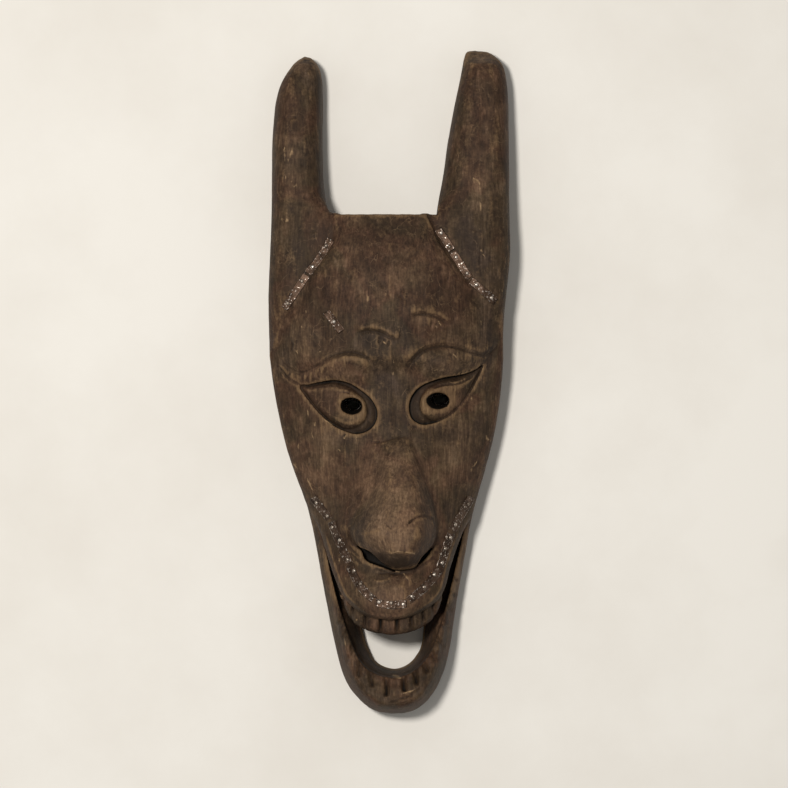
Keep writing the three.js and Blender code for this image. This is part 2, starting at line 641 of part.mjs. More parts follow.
function peepHole([x, y]) {
  const cone = new THREE.CylinderGeometry(PUPIL_FRONT, PUPIL_BACK, PUPIL_LENGTH, 20);
  return solid(cone.rotateX(Math.PI / 2).translate(x + PUPIL_SHIFT, y + PUPIL_SHIFT, PUPIL_LENGTH));
}

function nostril([x, y, z], turn) {
  const pit = new THREE.SphereGeometry(1, 12, 8).scale(...NOSTRIL_SIZE).rotateZ(turn);
  return solid(pit.translate(x, y, z));
}

// Lines cut with a knife: points, surface, and radius and depth of the cut.
const KNIFE_LINES = [
  [LEFT_BROW, headHeight, 1.6, 1.5],
  [RIGHT_BROW, headHeight, 1.6, 1.5],
  [LEFT_LID, eyeHeight(leftEye, LEFT_PUPIL, -1), 1.2, 1.4],
  [RIGHT_LID, eyeHeight(rightEye, RIGHT_PUPIL, 1), 1.2, 1.4],
  [LEFT_WING, noseHeight, 1.5, 1.8],
  [RIGHT_WING, noseHeight, 1.5, 1.8],
  [NOSE_STEP, noseHeight, 1.6, 1.6],
];

function makeMask() {
  const head = relief(headHeight, headOutline, 0, FACE_TOLERANCE, 2);
  const bar = relief(jawHeight, jawOutline, 0, FACE_TOLERANCE, 3);
  const jaw = bar.subtract(hollowing(mouthFloor, lowerTeeth, HORN_TOLERANCE, 3));
  const nose = relief(noseHeight, noseOutline, 40, FACE_TOLERANCE, 2);
  const horns = [
    relief(hornHeight("left"), leftHorn, 0, HORN_TOLERANCE, 3),
    relief(hornHeight("right"), rightHorn, 0, HORN_TOLERANCE, 3),
  ];
  let body = head.add(jaw).add(nose).add(horns[0]).add(horns[1]);
  const eyes = [[leftEye, LEFT_PUPIL, -1], [rightEye, RIGHT_PUPIL, 1]];
  for (const [eye, pupil, outward] of eyes) {
    body = body.subtract(hollowing(eyeHeight(eye, pupil, outward), eye, FACE_TOLERANCE, 2));
    body = body.subtract(peepHole(pupil));
  }
  for (const [line, surface, radius, depth] of KNIFE_LINES) {
    body = body.subtract(knifeCut(line, surface, radius, depth, 2));
  }
  body = body.subtract(relief(hollowHeight, hollowOutline, UNDER, 4, 4));
  body = body.subtract(prism(mouthOpening, UNDER, TEETH_BACK - 2));
  body = body.add(relief(teethHeight, upperTeeth, TEETH_BACK, FACE_TOLERANCE, 2));
  for (const gap of UPPER_GAPS) {
    body = body.subtract(nick(gap, UPPER_NICK.height, UPPER_NICK.width));
  }
  for (const gap of LOWER_GAPS) {
    body = body.subtract(nick(gap, jawCrest(gap[1][1]), LOWER_NICK_WIDTH));
  }
  return body.subtract(nostril(...LEFT_NOSTRIL)).subtract(nostril(...RIGHT_NOSTRIL));
}

// ---------------------------------------------------------------- copper strips and tacks
// Reads the height of the carved wood under a point, and its slope over a span round it.
function surfaceOf(mesh) {
  const ray = new THREE.Raycaster();
  const height = (x, y) => {
    ray.set(new THREE.Vector3(x, y, TOP_OF_STOCK), new THREE.Vector3(0, 0, -1));
    return ray.intersectObject(mesh)[0].point.z;
  };
  const slope = (x, y, ux, uy, span) =>
    (height(x + ux * span, y + uy * span) - height(x - ux * span, y - uy * span)) / (2 * span);
  return { height, slope };
}

// Stands a shape drawn along +X with +Y up on the strip's centre line, sheared to the wood's slope.
function alongStrip(geometry, [a, b], slope) {
  const shear = new THREE.Matrix4().makeShear(0, 0, 0, slope, 0, 0);
  geometry.rotateX(Math.PI / 2).applyMatrix4(shear);
  return geometry.rotateZ(Math.atan2(b[1] - a[1], b[0] - a[0])).translate(a[0], a[1], 0);
}

// A flat strip bent along the wood, and the shallow bed that it lies in.
function makeStrip(ends, surface) {
  const [a, b] = ends;
  const span = Math.hypot(b[0] - a[0], b[1] - a[1]);
  const [ux, uy] = [(b[0] - a[0]) / span, (b[1] - a[1]) / span];
  const steps = Math.max(2, Math.round(span / STRIP_STEP));
  const stations = Array.from({ length: steps + 1 }, (_, i) => (i / steps) * span);
  const level = stations.map((s) => surface.height(a[0] + ux * s, a[1] + uy * s));
  const tips = stations.map((s) =>
    surface.slope(a[0] + ux * s, a[1] + uy * s, -uy, ux, STRIP_WIDTH / 2),
  );
  const tip = tips.reduce((sum, t) => sum + t, 0) / tips.length;
  const slab = (low, high, width, past) => {
    const upper = stations.map((s, i) => new THREE.Vector2(s, level[i] + high));
    const lower = stations.map((s, i) => new THREE.Vector2(s, level[i] + low)).reverse();
    upper[0].x = lower.at(-1).x = -past;
    upper.at(-1).x = lower[0].x = span + past;
    const side = new THREE.Shape([...upper, ...lower]);
    const block = new THREE.ExtrudeGeometry(side, { depth: width, bevelEnabled: false });
    return block.translate(0, 0, -width / 2);
  };
  const strip = slab(-STRIP_SUNK, STRIP_THICK - STRIP_SUNK, STRIP_WIDTH, 0);
  const bed = slab(-STRIP_SUNK - 2 * FIT, BED_ABOVE, STRIP_WIDTH + 2 * FIT, FIT);
  return { strip: solid(alongStrip(strip, ends, tip)), bed: solid(alongStrip(bed, ends, tip)) };
}

// Place of a tack on its strip, and the direction that faces out of the surface there.
function tackSeat(ends, [share, offset], surface) {
  const [a, b] = ends;
  const span = Math.hypot(b[0] - a[0], b[1] - a[1]);
  const [ux, uy] = [(b[0] - a[0]) / span, (b[1] - a[1]) / span];
  const x = a[0] + ux * span * share - uy * offset;
  const y = a[1] + uy * span * share + ux * offset;
  const across = surface.slope(x, y, 1, 0, TACK_HEAD);
  const along = surface.slope(x, y, 0, 1, TACK_HEAD);
  const place = new THREE.Vector3(x, y, surface.height(x, y));
  return { place, out: new THREE.Vector3(-across, -along, 1).normalize() };
}

// Turns a shape made round +Y to stand on its seat.
function seated(geometry, { place, out }) {
  const turn = new THREE.Quaternion().setFromUnitVectors(new THREE.Vector3(0, 1, 0), out);
  return geometry.applyQuaternion(turn).translate(place.x, place.y, place.z);
}

// A round-headed tack: a domed head over a tapering shank.
function makeTack(seat) {
  const outline = [
    [0, TACK_UNDER - TACK_LENGTH], [TACK_SHANK, TACK_UNDER], [TACK_HEAD, TACK_UNDER],
    [TACK_HEAD * 0.65, TACK_UNDER + TACK_DOME * 0.8], [0, TACK_UNDER + TACK_DOME],
  ].map(([r, h]) => new THREE.Vector2(r, h));
  return solid(seated(new THREE.LatheGeometry(outline, 7), seat));
}

function tackHole(seat) {
  const bore = new THREE.CylinderGeometry(TACK_SHANK + FIT, TACK_SHANK + FIT, 2 * TACK_LENGTH, 4);
  return solid(seated(bore, seat));
}

// ---------------------------------------------------------------- the object
const wood = new THREE.MeshStandardMaterial({ color: "#4f4032", roughness: 0.72, metalness: 0 });
const copper = new THREE.MeshStandardMaterial({ color: "#7a5a48", roughness: 0.45, metalness: 0.9 });
const iron = new THREE.MeshStandardMaterial({ color: "#b9a592", roughness: 0.35, metalness: 0.9 });
const group = new THREE.Group();
function piece(name, body, material) {
  const mesh = new THREE.Mesh(geometryOf(body), material);
  mesh.name = name;
  group.add(mesh);
}

let mask = makeMask();
const surface = surfaceOf(new THREE.Mesh(geometryOf(mask), wood));
for (const [name, ends] of Object.entries(STRIPS)) {
  let { strip, bed } = makeStrip(ends, surface);
  const onStrip = surfaceOf(new THREE.Mesh(geometryOf(strip), copper));
  const seats = TACKS[name].map((spot) => tackSeat(ends, spot, onStrip));
  mask = mask.subtract(bed);
  seats.forEach((seat, i) => {
    mask = mask.subtract(tackHole(seat));
    strip = strip.subtract(tackHole(seat));
    piece(name.replace("strip", "tack") + "_" + (i + 1), makeTack(seat), iron);
  });
  piece(name, strip, copper);
}
piece("mask", mask, wood);

export default group;
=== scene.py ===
"""A tall two-horned mask of dark carved wood, edged with tacked copper strips, on its back rim."""

import math

import bpy
import numpy as np
import openvdb
from mathutils import Matrix, Vector
from mathutils.bvhtree import BVHTree


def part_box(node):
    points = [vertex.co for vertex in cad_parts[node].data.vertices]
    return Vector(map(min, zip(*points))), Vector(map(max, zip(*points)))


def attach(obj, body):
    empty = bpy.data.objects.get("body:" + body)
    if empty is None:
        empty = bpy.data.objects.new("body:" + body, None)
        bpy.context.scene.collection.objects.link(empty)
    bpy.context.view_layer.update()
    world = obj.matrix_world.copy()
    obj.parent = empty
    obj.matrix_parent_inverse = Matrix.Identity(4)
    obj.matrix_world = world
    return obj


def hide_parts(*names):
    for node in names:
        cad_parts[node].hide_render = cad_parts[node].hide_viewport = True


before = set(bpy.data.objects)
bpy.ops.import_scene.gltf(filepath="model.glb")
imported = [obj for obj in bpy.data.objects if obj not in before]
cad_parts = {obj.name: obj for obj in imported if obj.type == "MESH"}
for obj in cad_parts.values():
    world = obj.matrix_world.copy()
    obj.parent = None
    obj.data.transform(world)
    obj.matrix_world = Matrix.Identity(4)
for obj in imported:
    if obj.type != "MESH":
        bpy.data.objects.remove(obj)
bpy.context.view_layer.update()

# ------------------------------------------------------------
# The mask: one plank-sawn block of close-grained tropical hardwood, about half a metre tall.
# It is roughed out with an adze, carved with gouges and a knife, hollowed behind, stained
# nearly black-brown and waxed; handling has rubbed the raised places back to warm bare wood.

MM = 0.001
STEP = 0.9  # mm between the points at which the carving is worked out
MOST_FACES = 194000
MARGIN = 5  # mm of empty space round the block

mask_low, mask_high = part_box("mask")
across = np.arange(mask_low.x / MM - MARGIN, mask_high.x / MM + MARGIN, STEP)
along = np.arange(mask_low.y / MM - MARGIN, mask_high.y / MM + MARGIN, STEP)
up = np.arange(-MARGIN, mask_high.z / MM + MARGIN, STEP)
X, Y = np.meshgrid(across, along, indexing="ij")
Z = up[None, None, :].astype(np.float32)

# The block's outline from the front, in mm: from each horn's tip down to the chin.
LEFT_EDGE = [
    (-64.5, 245), (-70.5, 241), (-76.5, 233.5), (-81, 226), (-84.5, 216.5), (-87, 203), (-88.5, 180),
    (-89, 120), (-91, 50), (-88.5, 4), (-77, -52), (-61.5, -97), (-50, -156), (-41, -200), (-34, -224),
    (-24, -238.5), (-12, -247.5), (0, -250),
]
RIGHT_EDGE = [
    (64, 250), (75, 248), (84, 239.5), (88, 224), (89.5, 190), (89.5, 130), (90, 96), (87, 64),
    (84.5, 35), (84.5, 8), (81, -25), (75.5, -52), (63, -97), (55.5, -137), (50, -168), (44.5, -204),
    (40, -220), (31, -237), (21, -246), (11, -249.5), (0, -250),
]
CROWN_Y = 124  # saw cut between the horns
MOUTH_CORNER_Y = -92


def smooth(t):
    t = np.clip(t, 0, 1)
    return t * t * (3 - 2 * t)


def rounded(distance, reach):
    """A quarter wave from 0 at an edge to 1 at `reach` inside it."""
    return np.sin(math.pi / 2 * np.clip(distance / reach, -1, 1))


def flow(points, closed=False, per=6):
    """A flowing line through the points: a centripetal spline, `per` short lengths to a span."""
    p = np.array(points, float)
    ends = (p[-1:], p[:2]) if closed else (2 * p[:1] - p[1:2], 2 * p[-1:] - p[-2:-1])
    p = np.vstack([ends[0], p, ends[1]])
    t = np.linspace(0, 1, per, endpoint=False)[:, None]
    out = []
    for a, b, c, d in zip(p, p[1:], p[2:], p[3:]):
        gap = [max(math.dist(i, j) ** 0.5, 1e-4) for i, j in ((a, b), (b, c), (c, d))]
        start = ((b - a) / gap[0] - (c - a) / (gap[0] + gap[1]) + (c - b) / gap[1]) * gap[1]
        stop = ((c - b) / gap[1] - (d - b) / (gap[1] + gap[2]) + (d - c) / gap[2]) * gap[1]
        turn = 2 * b - 2 * c + start + stop
        out.append(b + start * t + (3 * c - 3 * b - 2 * start - stop) * t**2 + turn * t**3)
    if not closed:
        out.append(p[-2:-1])
    return np.vstack(out)


def nearest(line, x, y, closed=False):
    """Distance to a line, the share of its length at the nearest place, and whether it lies left."""
    line = np.vstack([line, line[:1]]) if closed else line
    lengths = np.hypot(*(line[1:] - line[:-1]).T)
    passed = np.concatenate([[0], np.cumsum(lengths)])
    best = np.full(x.shape, 1e9)
    share = np.zeros(x.shape)
    left = np.zeros(x.shape, bool)
    for i, (a, b) in enumerate(zip(line, line[1:])):
        d = b - a
        t = np.clip(((x - a[0]) * d[0] + (y - a[1]) * d[1]) / max(d @ d, 1e-9), 0, 1)
        ex = x - a[0] - t * d[0]
        ey = y - a[1] - t * d[1]
        gap = ex * ex + ey * ey
        closer = gap < best
        best = np.where(closer, gap, best)
        share = np.where(closer, (passed[i] + t * lengths[i]) / passed[-1], share)
        left = np.where(closer, d[0] * ey - d[1] * ex > 0, left)
    return np.sqrt(best), share, left


def outside(outline):
    """Distance out from an outline in the plan, negative inside it."""
    distance, _, _ = nearest(outline, X, Y, closed=True)
    odd = np.zeros(X.shape, bool)
    for (ax, ay), (bx, by) in zip(outline, np.vstack([outline[1:], outline[:1]])):
        if ay != by:
            odd ^= ((ay > Y) != (by > Y)) & (X < (bx - ax) * (Y - ay) / (by - ay) + ax)
    return np.where(odd, -distance, distance)


left_edge = flow(LEFT_EDGE)
right_edge = flow(RIGHT_EDGE)
block_plan = outside(np.vstack([left_edge, right_edge[-2::-1]]))

# The face lies between the two horns' roots, and ends below in the rounded muzzle.
LEFT_ROOT = [(-41, 124), (-40, 107), (-53, 84.5), (-67, 62), (-76, 45.5), (-90, 20)]
RIGHT_ROOT = [
    (27, 124), (35, 105), (50.5, 81.5), (64, 61.5), (74.5, 54.5), (80, 49.5), (82.5, 42), (86, 34),
]
MUZZLE_LEFT = [(-61, -95), (-53, -110), (-41, -145.5), (-34, -160), (-17, -174.3), (0, -177)]
MUZZLE_RIGHT = [(61.5, -101), (55, -111), (45.2, -137), (38, -158.5), (17, -174.3), (0, -177)]
left_root = flow(LEFT_ROOT)
right_root = flow(RIGHT_ROOT)
muzzle = np.vstack([flow(MUZZLE_LEFT), flow(MUZZLE_RIGHT)[-2::-1]])
left_cheek = left_edge[(left_edge[:, 1] < 20) & (left_edge[:, 1] > MOUTH_CORNER_Y)]
right_cheek = right_edge[(right_edge[:, 1] < 30) & (right_edge[:, 1] > MOUTH_CORNER_Y)]
head_plan = outside(np.vstack([left_root, left_cheek, muzzle, right_cheek[::-1], right_root[::-1]]))

# It is a long dome. Heights over the back rim, as (y, height) down its middle and its sides.
RIDGE = [
    (124, 63), (100, 75), (76, 83), (45, 87), (20, 86), (4, 80), (-18, 79), (-42, 81), (-80, 84),
    (-120, 85), (-139, 86), (-152, 92), (-166, 94), (-177, 86),
]
SIDE = [
    (124, 44), (76, 46), (30, 44), (-20, 41), (-60, 40), (-92, 44), (-115, 54), (-140, 66), (-165, 76),
    (-177, 80),
]
RIDGE_X = [(124, 0), (40, 1), (-40, 4), (-110, 4), (-177, 0)]
HORN_HIGH_Y = 215  # above this the horns round off, and no longer run on from the face's sides


def glide(rows):
    """A smooth value through each (y, value), without overshoot."""
    rows = np.array(sorted(rows), float)
    place, value = rows.T
    rate = np.diff(value) / np.diff(place)
    slope = np.concatenate([rate[:1], np.zeros(len(rate) - 1), rate[-1:]])
    product = rate[:-1] * rate[1:]
    total = np.where(product > 0, rate[:-1] + rate[1:], 1)
    slope[1:-1] = np.where(product > 0, 2 * product / total, 0)
    q = np.clip(Y, place[0], place[-1])
    k = np.clip(np.searchsorted(place, q, side="right") - 1, 0, len(place) - 2)
    h = place[k + 1] - place[k]
    t = (q - place[k]) / h
    u = 1 - t
    return (
        (1 + 2 * t) * u * u * value[k]
        + t * u * u * h * slope[k]
        + t * t * (3 - 2 * t) * value[k + 1]
        - t * t * u * h * slope[k + 1]
    )


def turned(line):
    """The line's points as (y, x), for a value of x down the mask."""
    return [(y, x) for x, y in line]


def swell(cx, cy, rx, ry, rise, turn=0.0):
    """A smooth swelling: its middle, its half width and half height, its rise, and its turn."""
    u = (X - cx) * math.cos(turn) + (Y - cy) * math.sin(turn)
    v = (Y - cy) * math.cos(turn) - (X - cx) * math.sin(turn)
    return rise * smooth(1 - np.hypot(u / rx, v / ry))


beside_left = [p for p in LEFT_EDGE if MOUTH_CORNER_Y < p[1] < HORN_HIGH_Y]
beside_right = [p for p in RIGHT_EDGE if MOUTH_CORNER_Y < p[1] < HORN_HIGH_Y]
middle = glide(RIDGE_X)
face_left = middle - glide(turned(beside_left + MUZZLE_LEFT[1:]))
face_right = glide(turned(beside_right + MUZZLE_RIGHT[1:])) - middle
sideways = np.abs(X - middle) / np.maximum(np.where(X < middle, face_left, face_right), 1)
dome = glide(SIDE) + (glide(RIDGE) - glide(SIDE)) * (1 - np.minimum(sideways, 1.2) ** 2.2)
head = dome + swell(-38, 9, 34, 16, 6, -0.05) + swell(45, 13, 34, 16, 6, 0.12)
head += swell(-66, 30, 20, 26, 4) + swell(62, 36, 24, 26, 4)

# Brows and wrinkles: the wood stands up on the lower side of a line cut with a V tool.
LEFT_BROW = [
    (-10.5, 8), (-15.5, 16.5), (-23, 20.5), (-32, 21.5), (-42, 19), (-57, 10), (-66, 7), (-75, 10.5),
    (-85, 20),
]
RIGHT_BROW = [
    (13, 7), (17, 15), (26, 22.5), (37, 25.5), (48, 24.5), (64, 20), (71.5, 19.5), (79, 25), (84, 34),
]
LEFT_WRINKLE = [(-24, 34), (-18.5, 36.3), (-9, 36), (0, 32), (6, 28)]
RIGHT_WRINKLE = [(14, 47.2), (23, 49), (31, 48), (38, 44.8), (43, 40.6)]


def carved_step(line, cut, rise, reach, fall):
    """The surface drops by `cut` at a line, then on the line's lower side stands up to `rise` over
    `reach` mm and dies away over `fall` mm more."""
    distance, share, left = nearest(line[::-1], X, Y)
    ends = smooth(np.minimum(share, 1 - share) / 0.14)
    upper = -cut * (1 - smooth(distance / 2))
    near = -cut + (cut + rise) * smooth(distance / reach)
    far = rise * (1 - smooth((distance - reach) / fall))
    return np.where(left, upper, np.where(distance < reach, near, far)) * ends


def groove(height, points, width, depth, fade=0.25):
    """Cuts a V along a line into a carved surface, running out at its ends."""
    line = flow(points) if len(points) > 2 else np.array(points, float)
    low = line.min(0) - width - STEP
    high = line.max(0) + width + STEP
    i = slice(*np.searchsorted(across, (low[0], high[0])))
    j = slice(*np.searchsorted(along, (low[1], high[1])))
    distance, share, _ = nearest(line, X[i, j], Y[i, j])
    ends = smooth(np.minimum(share, 1 - share) / fade) if fade else 1
    v = np.clip(1 - distance / (width * np.maximum(ends, 0.3)), 0, 1)
    height[i, j] -= depth * v * ends


for brow in (LEFT_BROW, RIGHT_BROW):
    head += carved_step(flow(brow), 0.7, 1.3, 4, 9)
    groove(head, brow, 0.9, 0.7, fade=0.1)
for wrinkle in (LEFT_WRINKLE, RIGHT_WRINKLE):
    head += carved_step(flow(wrinkle), 0.6, 1.2, 3.5, 7)
    groove(head, wrinkle, 0.9, 0.5, fade=0.2)
# The outer corners of the eyes run on as creases.
groove(head, [(-63, -2.5), (-69, -1.5), (-76, 3), (-81, 9), (-85.5, 14)], 1.6, 1.8, fade=0.3)
groove(head, [(66, 10.5), (70, 14), (75, 20), (79, 26)], 1.3, 1.2, fade=0.35)

# At the horns' roots the face rolls down into a valley, which dies away at both ends.
ROOT_FALL = 2.6
ROOT_WIDTH = 8
LEFT_ROOT_END = (30, 0.2)  # the y at which the valley fades, and the share of it left below
RIGHT_ROOT_END = (46, 0.25)


def root_fall(line, on_left, end):
    """How far the wood falls towards a root line, on one side of the line."""
    distance, _, left = nearest(line, X, Y)
    low, left_over = end
    strength = 1 - 0.6 * smooth((Y - 104) / 16)
    strength *= left_over + (1 - left_over) * smooth((Y - low) / 18)
    fall = 1 - rounded(np.where(left == on_left, distance, -distance), ROOT_WIDTH)
    return ROOT_FALL * strength * fall


head -= root_fall(left_root, True, LEFT_ROOT_END) + root_fall(right_root, False, RIGHT_ROOT_END)
groove(head, [(-67.5, 61), (-72, 52), (-76.5, 43.5), (-81, 34), (-84, 25)], 2.8, 3.0, fade=0.3)
groove(head, [(-71.5, 30.5), (-73, 26), (-74.5, 20.5)], 2.0, 1.5, fade=0.3)

# Gouge marks: narrow shallow dishes down the face. No two are alike, but they are the same on
# every run.


def chance(*places):
    """A repeatable number from 0 to 1 for each whole-numbered place."""
    mixed = np.zeros(np.shape(places[0]), np.uint64)
    for place, factor in zip(places, (374761393, 668265263, 2246822519, 3266489917)):
        mixed = mixed + (np.asarray(place).astype(np.int64) + 7919).astype(np.uint64) * np.uint64(factor)
    mixed ^= mixed >> np.uint64(13)
    mixed = (mixed * np.uint64(1274126177)) & np.uint64(0xFFFFFFFF)
    mixed ^= mixed >> np.uint64(16)
    return (mixed & np.uint64(0xFFFF)).astype(float) / 65535


def mottle(x, y, z, seed):
    """Soft blotches about one unit apart, from -1 to 1."""
    whole = [np.floor(v) for v in (x, y, z)]
    part = [smooth(v - w) for v, w in zip((x, y, z), whole)]
    total = 0
    for corner in np.ndindex(2, 2, 2):
        weight = 1
        for p, c in zip(part, corner):
            weight = weight * (p if c else 1 - p)
        total = total + weight * chance(*(w + c for w, c in zip(whole, corner)), seed)
    return 2 * total - 1


def dishes(wide, long, seed):
    """Shallow dishes side by side, as gouge cuts leave: 0 in each dish's middle, 1 at its rim."""
    u = (X + 1.5 * mottle(X / 9, Y / 14, 0, seed)) / wide
    v = Y / long
    best = np.full(X.shape, 9.0)
    for i, j in np.ndindex(3, 3):
        cu = np.floor(u) + i - 1
        cv = np.floor(v) + j - 1
        pu = cu + 0.15 + 0.7 * chance(cu, cv, seed)
        pv = cv + 0.15 + 0.7 * chance(cu, cv, seed + 1)
        best = np.minimum(best, (u - pu) ** 2 + (v - pv) ** 2)
    return best - 0.3


gouged = 0.42 * dishes(6.5, 15, 3) + 0.3 * dishes(12, 26, 5)
head += gouged + (0.35 * mottle(X / 17, Y / 34, 0, 11) + 0.25 * mottle(X / 7, Y / 19, 0, 12))

# The nose: a wedge that grows out of the face, with round wings and a blunt broken tip.
NOSE_LEFT = [(-7, -43), (-13, -65), (-20.5, -87), (-28, -110), (-25, -119), (-7, -134), (2, -138.5)]
NOSE_RIGHT = [
    (14.5, -41.5), (19, -54), (27, -75), (33.5, -104), (33, -117), (28, -125), (18, -137), (8, -139),
]
NOSE_RISE = [
    (-38, 0), (-43, 3), (-60, 10), (-85, 21), (-105, 30), (-118, 33.5), (-124, 33.5), (-127, 30.5),
    (-138, 17), (-141, 13),
]
NOSE_STEP = [(-14, -45.5), (-6, -44.6), (2, -42.6), (13, -40.5)]
LEFT_WING = [(-5, -101), (-2, -105), (3, -109.5)]
RIGHT_WING = [(10.5, -109.5), (14, -103.5), (20, -99.5), (28, -99), (33, -104), (34.5, -112)]
LEFT_WING_SIDE = [(-26, -104), (-28.5, -111), (-27, -119)]
nose_plan = outside(np.vstack([flow(NOSE_LEFT), flow(NOSE_RIGHT)[::-1]]))
nose_half = np.maximum((glide(turned(NOSE_RIGHT)) - glide(turned(NOSE_LEFT))) / 2, 3)
foot = 0.1 + 0.3 * smooth((-70 - Y) / 40) + np.where(X > middle, 0.22, 0) * smooth((Y + 110) / 30)
nose_rise = glide(NOSE_RISE)
# The flanks run out into the cheeks, more on the left.
flank = 0.4 * nose_rise * np.exp(-np.maximum(nose_plan, 0) / 9) * (Y < -38)
flank *= smooth((-40 - Y) / 14) * smooth((Y + 122) / 16)
head += flank * (1 - 0.7 * smooth((X - 4) / 12))
full_over = (0.85 - 0.35 * smooth((X - middle + 10) / 20)) * nose_half
nose = dome + nose_rise * (foot + (1 - foot) * rounded(-nose_plan, full_over))
nose += 0.3 * gouged
for wing, width, depth in ((LEFT_WING, 1.5, 1.0), (RIGHT_WING, 1.5, 2.0), (LEFT_WING_SIDE, 1.8, 2.2)):
    groove(nose, wing, width, depth, fade=0.25)
nose += swell(-13, -111, 15, 14, 1.8) + swell(24, -110, 12, 13, 2.2)
for surface in (head, nose):
    groove(surface, NOSE_STEP, 1.2, 1.3, fade=0.2)
groove(head, [(-26, -104), (-29.5, -112), (-27.5, -121)], 2.4, 2.2, fade=0.3)

# The upper lip: a raised rim for the copper, and curls and creases under the nose.
from_muzzle = nearest(muzzle, X, Y)[0]
head += 1.5 * smooth(1 - np.abs(from_muzzle - 3.2) / 2.4) * smooth((-108 - Y) / 12)
head += 0.9 * dishes(9, 9, 17) * smooth((-120 - Y) / 15)
groove(head, [(7, -141), (12, -143), (15, -148), (13, -152)], 1.4, -0.9)
groove(head, [(3, -142), (-2, -146), (-9, -147), (-15, -144)], 1.6, -0.8)
# Straight cuts here and below run from (x, y) to (x, y).
CREASES = [
    (10, -140.5, 33, -124.5), (13, -143.5, 36, -127.5), (-13, -137, 9, -143.5), (-14, -141.5, 20, -142),
    (-33, -120, -22, -130), (-31, -117, -20, -125), (-30, -126, -20, -136),
]

# Fine cuts of the knife: the frayed outer ends of the brows, and old scratches.
HAIRS = [
    (-64, 6.5, -66, -1.5), (-60, 7.5, -61.5, -1), (-56, 9, -57.5, -0.5), (-51.5, 11, -53, 0.5),
    (-47.5, 12, -49, 1.5), (-72, 9, -76, 3), (46, 23.5, 45, 17), (49, 23.5, 48, 16.5),
    (52, 23, 51, 16.5), (55, 22, 54, 16), (-7, 33, -8.5, 27), (-3.5, 32, -5, 26), (0, 30.5, -1.5, 25),
    (31, 45.5, 30, 38.5), (34.5, 44.5, 33.5, 37.5), (38, 43, 36.5, 36.5), (50, 6.8, 49, 2.2),
    (53, 7.4, 52, 2.8), (56, 8.2, 55, 3.4), (59, 9, 58, 4.2),
]
SCRATCHES = [
    (-14, 72, -8, 61), (-8, 74, -4, 66), (2, 70, -3, 60), (4, 66, 12, 58), (-20, 66, -27, 60),
    (12, 70, 8, 63), (-54, 50, -47, 43), (-50, 56, -40, 45),
]
chisel = np.random.default_rng(7)


def straight_cuts(height, cuts, width, depth, fade=0.25):
    """Grooves from place to place, all of one width and depth."""
    for cut in cuts:
        groove(height, np.reshape(cut, (2, 2)), width, depth, fade)


def stray_cut(height, xs, ys, lean, sway, lengths, widths, depths):
    """A straight cut at a chance place, with each measure between its two limits."""
    start = np.array((chisel.uniform(*xs), chisel.uniform(*ys)))
    turn = chisel.normal(lean, sway)
    stop = start + chisel.uniform(*lengths) * np.array((math.cos(turn), math.sin(turn)))
    groove(height, [start, stop], chisel.uniform(*widths), chisel.uniform(*depths), fade=0.4)


straight_cuts(head, CREASES + HAIRS, 1.1, 0.9)
for _ in range(46):
    stray_cut(head, (-62, 62), (-95, 112), 1.45, 0.55, (3, 11), (0.9, 1.4), (0.25, 0.7))
straight_cuts(head, SCRATCHES, 1.2, 0.8, fade=0.4)

# The eyes: a smooth bulging ball in a socket, with a deep crescent between the ball and the
# nose, a lid crease above and a thin lip round the peep hole.
LEFT_EYE = [
    (-67, -3.5), (-60, -2.4), (-52, -0.5), (-40.5, 0.8), (-30, -1.5), (-21.5, -6.5), (-14, -13),
    (-9.5, -21), (-10, -29.5), (-15.5, -36), (-24, -39), (-33, -37), (-42, -32.5), (-51, -25),
    (-60, -14.5),
]
RIGHT_EYE = [
    (69, 12), (61, 7.6), (51, 4.7), (40.5, 2.9), (30.5, 0), (21.5, -4.5), (15.5, -12), (14, -20),
    (16.5, -28), (23, -32), (32, -31), (42, -26.5), (50.5, -20), (57.5, -11), (64, 0),
]
LEFT_BALL = [
    (-65, -4.4), (-60, -3.6), (-52, -1.8), (-40.5, -0.8), (-31, -3.6), (-23.5, -8.8), (-18, -15.3),
    (-16, -23), (-18.6, -30), (-25.3, -34.6), (-33.4, -35.4), (-42, -31.6), (-50.6, -24.3),
    (-59.4, -14),
]
RIGHT_BALL = [
    (68, 11), (60.6, 6.6), (51, 3.6), (41, 1.6), (32, -2), (25, -7.6), (21.5, -15), (22.5, -22.5),
    (27.5, -28), (33, -30.2), (42, -26), (50.2, -19.6), (57.2, -10.6), (63.6, 0.3),
]
LEFT_LID = [(-62, -7.4), (-55, -8.6), (-48, -9.1), (-40.5, -8.3), (-33, -8.4), (-26, -10.8)]
RIGHT_LID = [(64.5, 6.9), (58, 1.4), (49.5, -2.2), (39, -2.9), (31, -5.8)]
LEFT_PUPIL = (-29.5, -18.7)
RIGHT_PUPIL = (35.2, -15)
PUPIL_WIDE = 9.4
PUPIL_HIGH = 7.0
SOCKET_DEEP = 8.6  # below the face at the nose's side
BALL_RISE = 4.6


